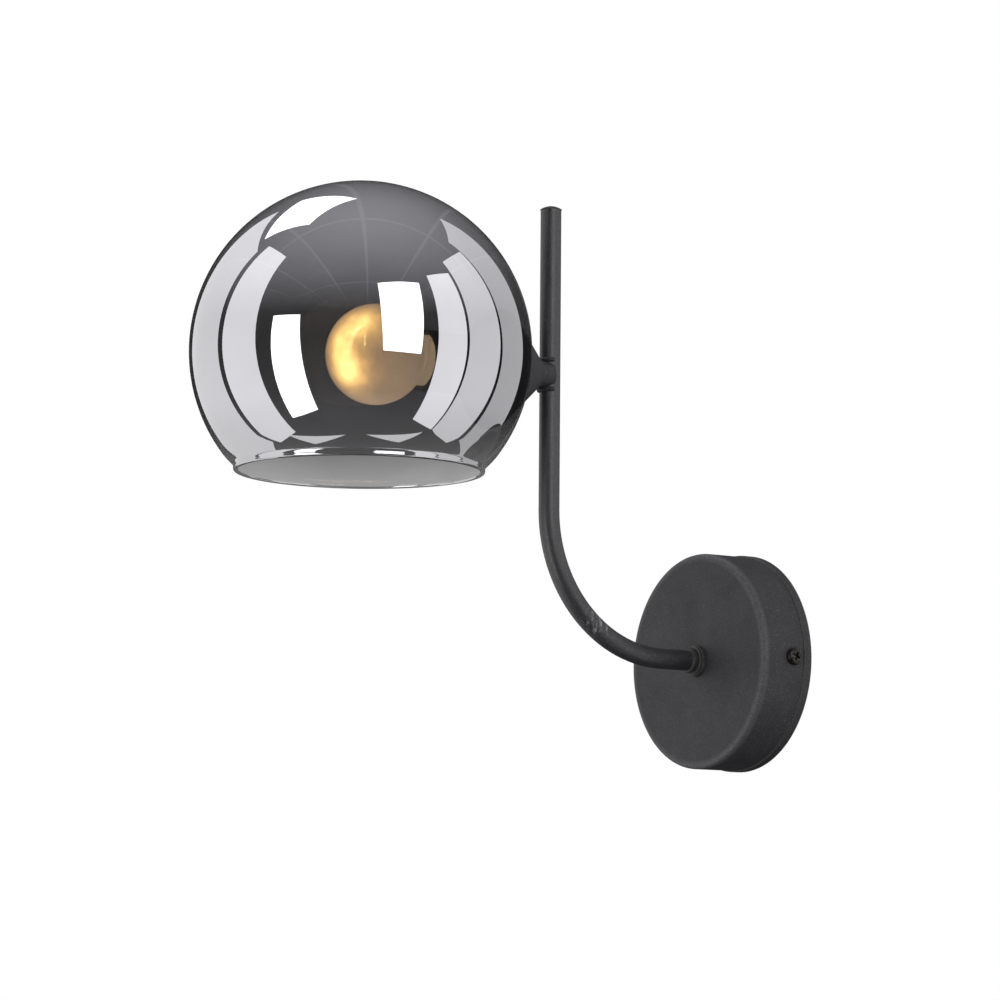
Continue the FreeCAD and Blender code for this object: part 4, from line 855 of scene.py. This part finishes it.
def add_panel(name, azimuths, elevations, level, distance, centre):
    """A flat light that fills that span of directions as seen from the globe."""
    middle = direction(sum(azimuths) / 2, sum(elevations) / 2)
    rise = math.radians(sum(elevations) / 2)
    half_width = math.tan(math.radians(azimuths[1] - azimuths[0]) / 2) * math.cos(rise)
    half_height = math.tan(math.radians(elevations[1] - elevations[0]) / 2)
    light = bpy.data.lights.new(name, "AREA")
    light.shape = "RECTANGLE"
    light.size = 2 * half_width * distance
    light.size_y = 2 * half_height * distance
    light.energy = level * math.pi * light.size * light.size_y
    panel = bpy.data.objects.new(name, light)
    panel.location = centre + middle * distance
    panel.rotation_mode = "QUATERNION"
    panel.rotation_quaternion = middle.to_track_quat("Z", "Y")
    bpy.context.collection.objects.link(panel)


def studio_world(level):
    """White for the camera and through glass, a dim room for gloss, and a soft fill for the rest."""
    world = bpy.data.worlds.new("studio")
    world.use_nodes = True
    tree = world.node_tree
    tree.nodes.clear()
    heading = add(tree, "TexCoord").outputs["Generated"]
    path = add(tree, "LightPath")
    height = add(tree, "SeparateXYZ", Vector=heading).outputs["Z"]
    room = add(tree, "ValToRGB", Fac=spread(tree, height, -1.0, 1.0))
    # The room's grey from straight down (0) to straight up (1).
    stops = [(0.0, 0.06), (0.5, 0.012), (0.65, 0.02), (0.85, 0.20), (1.0, 0.36)]
    while len(room.color_ramp.elements) < len(stops):
        room.color_ramp.elements.new(1.0)
    for element, (place, value) in zip(room.color_ramp.elements, stops):
        element.position = place
        element.color = (value, value, value * 1.05, 1.0)
    # Roof beams: a grid on a flat ceiling, faint, and only where the ceiling is.
    tall = add(tree, "CombineXYZ", X=height, Y=height, Z=height)
    ceiling = add(tree, "VectorMath", settings={"operation": "DIVIDE"}, i0=heading, i1=tall.outputs[0])
    dim, bright = (0.0, 0.0, 0.0, 1.0), (0.06, 0.06, 0.065, 1.0)
    turned = add(tree, "Mapping", {"Rotation": (0.0, 0.0, math.radians(28.0))},
                 Vector=ceiling.outputs[0])
    grid = {"Color1": dim, "Color2": (0.015, 0.015, 0.016, 1.0), "Mortar": bright, "Scale": 1.0,
            "Mortar Size": 0.022, "Mortar Smooth": 0.6, "Brick Width": 1.3, "Row Height": 0.55}
    beams = add(tree, "TexBrick", grid, {"offset": 0.0}, Vector=turned.outputs[0])
    roof = add(tree, "Mix", settings={"data_type": "RGBA", "blend_type": "ADD"},
               i0=spread(tree, height, 0.35, 0.6), i6=room.outputs[0], i7=beams.outputs[0])
    soft = spread(tree, height, -1.0, 1.0, 0.15 * level, 1.8 * level)
    fill = add(tree, "Mix", settings={"data_type": "RGBA"},
               i0=path.outputs["Is Glossy Ray"], i6=soft, i7=roof.outputs[2])
    seen = add(tree, "Math", settings={"operation": "MAXIMUM"},
               i0=path.outputs["Is Camera Ray"], i1=path.outputs["Is Transmission Ray"])
    colour = add(tree, "Mix", {7: (1.0, 1.0, 1.0, 1.0)}, {"data_type": "RGBA"},
                 i0=seen.outputs[0], i6=fill.outputs[2])
    background = add(tree, "Background", Color=colour.outputs[2])
    add(tree, "OutputWorld", Surface=background.outputs[0])
    return world


def painted_floor():
    """Matt white paint on the floor sheets; every ray but a diffuse one sees it as plain white."""
    material, tree, shader = new_material("matt floor paint")
    place = add(tree, "TexCoord").outputs["Object"]
    roller = add(tree, "TexNoise", {"Scale": per_size(6), "Detail": 2.0}, Vector=place)
    tint = ramp(tree, roller.outputs[0], [(0.3, "#dedede"), (0.7, "#e4e4e4")])
    tree.links.new(tint, shader.inputs["Base Color"])
    shader.inputs["Roughness"].default_value = 0.9
    path = add(tree, "LightPath")
    seen = add(tree, "Math", {1: 0.5}, {"operation": "LESS_THAN"}, i0=path.outputs["Is Diffuse Ray"])
    white = add(tree, "Emission", {"Color": (1, 1, 1, 1), "Strength": 1.0})
    mixed = add(tree, "MixShader", Fac=seen.outputs[0], i1=shader.outputs[0], i2=white.outputs[0])
    output = next(node for node in tree.nodes if node.type == "OUTPUT_MATERIAL")
    tree.links.new(mixed.outputs[0], output.inputs["Surface"])
    return material


class SCONCE_OT_stage(bpy.types.Operator):
    """Set the floor sheets, the studio lights, the room and the camera."""

    bl_idname = "sconce.stage"
    bl_label = "Studio"

    def execute(self, context):
        scene, studio = context.scene, context.scene.sconce_studio
        globe = Vector((0.0, GLOBE_FRONT + scene.sconce_sizes.globe_radius, SHADE_AXIS_Z))
        mesh = bpy.data.meshes.new("floor")
        drop = globe.z - studio.floor_height
        rays = [direction(*corner) for corner in SHEET_CORNERS]
        corners = [(ray.x / -ray.z * drop, ray.y / -ray.z * drop, 0.0) for ray in rays]
        mesh.from_pydata(corners, [], [(0, 1, 2), (3, 4, 5)])
        floor = bpy.data.objects.new("floor", mesh)
        floor.location = (globe.x, globe.y, studio.floor_height)
        floor.data.materials.append(painted_floor())
        context.collection.objects.link(floor)
        for lights, level in ((WALL_PANELS, studio.panel_level), (SOFTBOXES, studio.box_level)):
            for name, azimuths, elevations, share, distance in lights:
                add_panel(name, azimuths, elevations, level * share, distance, globe)
        scene.world = studio_world(studio.fill_level)
        scene.view_settings.view_transform = "Standard"
        self.place_camera(scene, studio)
        return {"FINISHED"}

    def place_camera(self, scene, studio):
        """Stand the camera at its place, turned by yaw, then tilt, then roll."""
        yaw, tilt, roll = studio.camera_heading
        level_ahead = Vector((-math.sin(yaw), math.cos(yaw), 0.0))
        ahead = level_ahead * math.cos(tilt) + Vector((0.0, 0.0, math.sin(tilt)))
        level_right = Vector((math.cos(yaw), math.sin(yaw), 0.0))
        level_up = level_right.cross(ahead)
        right = level_right * math.cos(roll) + level_up * math.sin(roll)
        up = level_up * math.cos(roll) - level_right * math.sin(roll)
        camera = bpy.data.objects.new("camera", bpy.data.cameras.new("camera"))
        camera.data.lens = studio.lens
        camera.data.sensor_width = 36.0
        camera.data.clip_start, camera.data.clip_end = 0.05, 50.0
        camera.matrix_world = Matrix((
            (right.x, up.x, -ahead.x, studio.camera_place[0]),
            (right.y, up.y, -ahead.y, studio.camera_place[1]),
            (right.z, up.z, -ahead.z, studio.camera_place[2]),
            (0, 0, 0, 1),
        ))
        scene.collection.objects.link(camera)
        scene.camera = camera


class SCONCE_PT_panel(bpy.types.Panel):
    """Lists the settings and the operators in the sidebar."""

    bl_idname = "SCONCE_PT_panel"
    bl_label = "Globe wall sconce"
    bl_space_type = "VIEW_3D"
    bl_region_type = "UI"
    bl_category = "Sconce"

    def draw(self, context):
        layout = self.layout
        scene = context.scene
        for group in (scene.sconce_sizes, scene.sconce_colours, scene.sconce_studio):
            box = layout.box()
            for name in group.bl_rna.properties.keys():
                if name not in ("rna_type", "name"):
                    box.prop(group, name)
        for operator in OPERATORS:
            layout.operator(operator.bl_idname)


OPERATORS = (
    SCONCE_OT_globe,
    SCONCE_OT_coated_metal,
    SCONCE_OT_lampholder,
    SCONCE_OT_lamp,
    SCONCE_OT_canopy_inside,
    SCONCE_OT_leads,
    SCONCE_OT_stage,
)
CLASSES = (SconceSizes, SconceColours, SconceStudio) + OPERATORS + (SCONCE_PT_panel,)


def register():
    for item in CLASSES:
        bpy.utils.register_class(item)
    bpy.types.Scene.sconce_sizes = PointerProperty(type=SconceSizes)
    bpy.types.Scene.sconce_colours = PointerProperty(type=SconceColours)
    bpy.types.Scene.sconce_studio = PointerProperty(type=SconceStudio)


def unregister():
    del bpy.types.Scene.sconce_studio
    del bpy.types.Scene.sconce_colours
    del bpy.types.Scene.sconce_sizes
    for item in reversed(CLASSES):
        bpy.utils.unregister_class(item)


def main():
    """Register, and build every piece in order."""
    register()
    bpy.ops.sconce.globe()
    bpy.ops.sconce.coated_metal()
    bpy.ops.sconce.lampholder()
    bpy.ops.sconce.lamp()
    bpy.ops.sconce.canopy_inside()
    bpy.ops.sconce.leads()
    bpy.ops.sconce.stage()


if __name__ == "__main__":
    main()
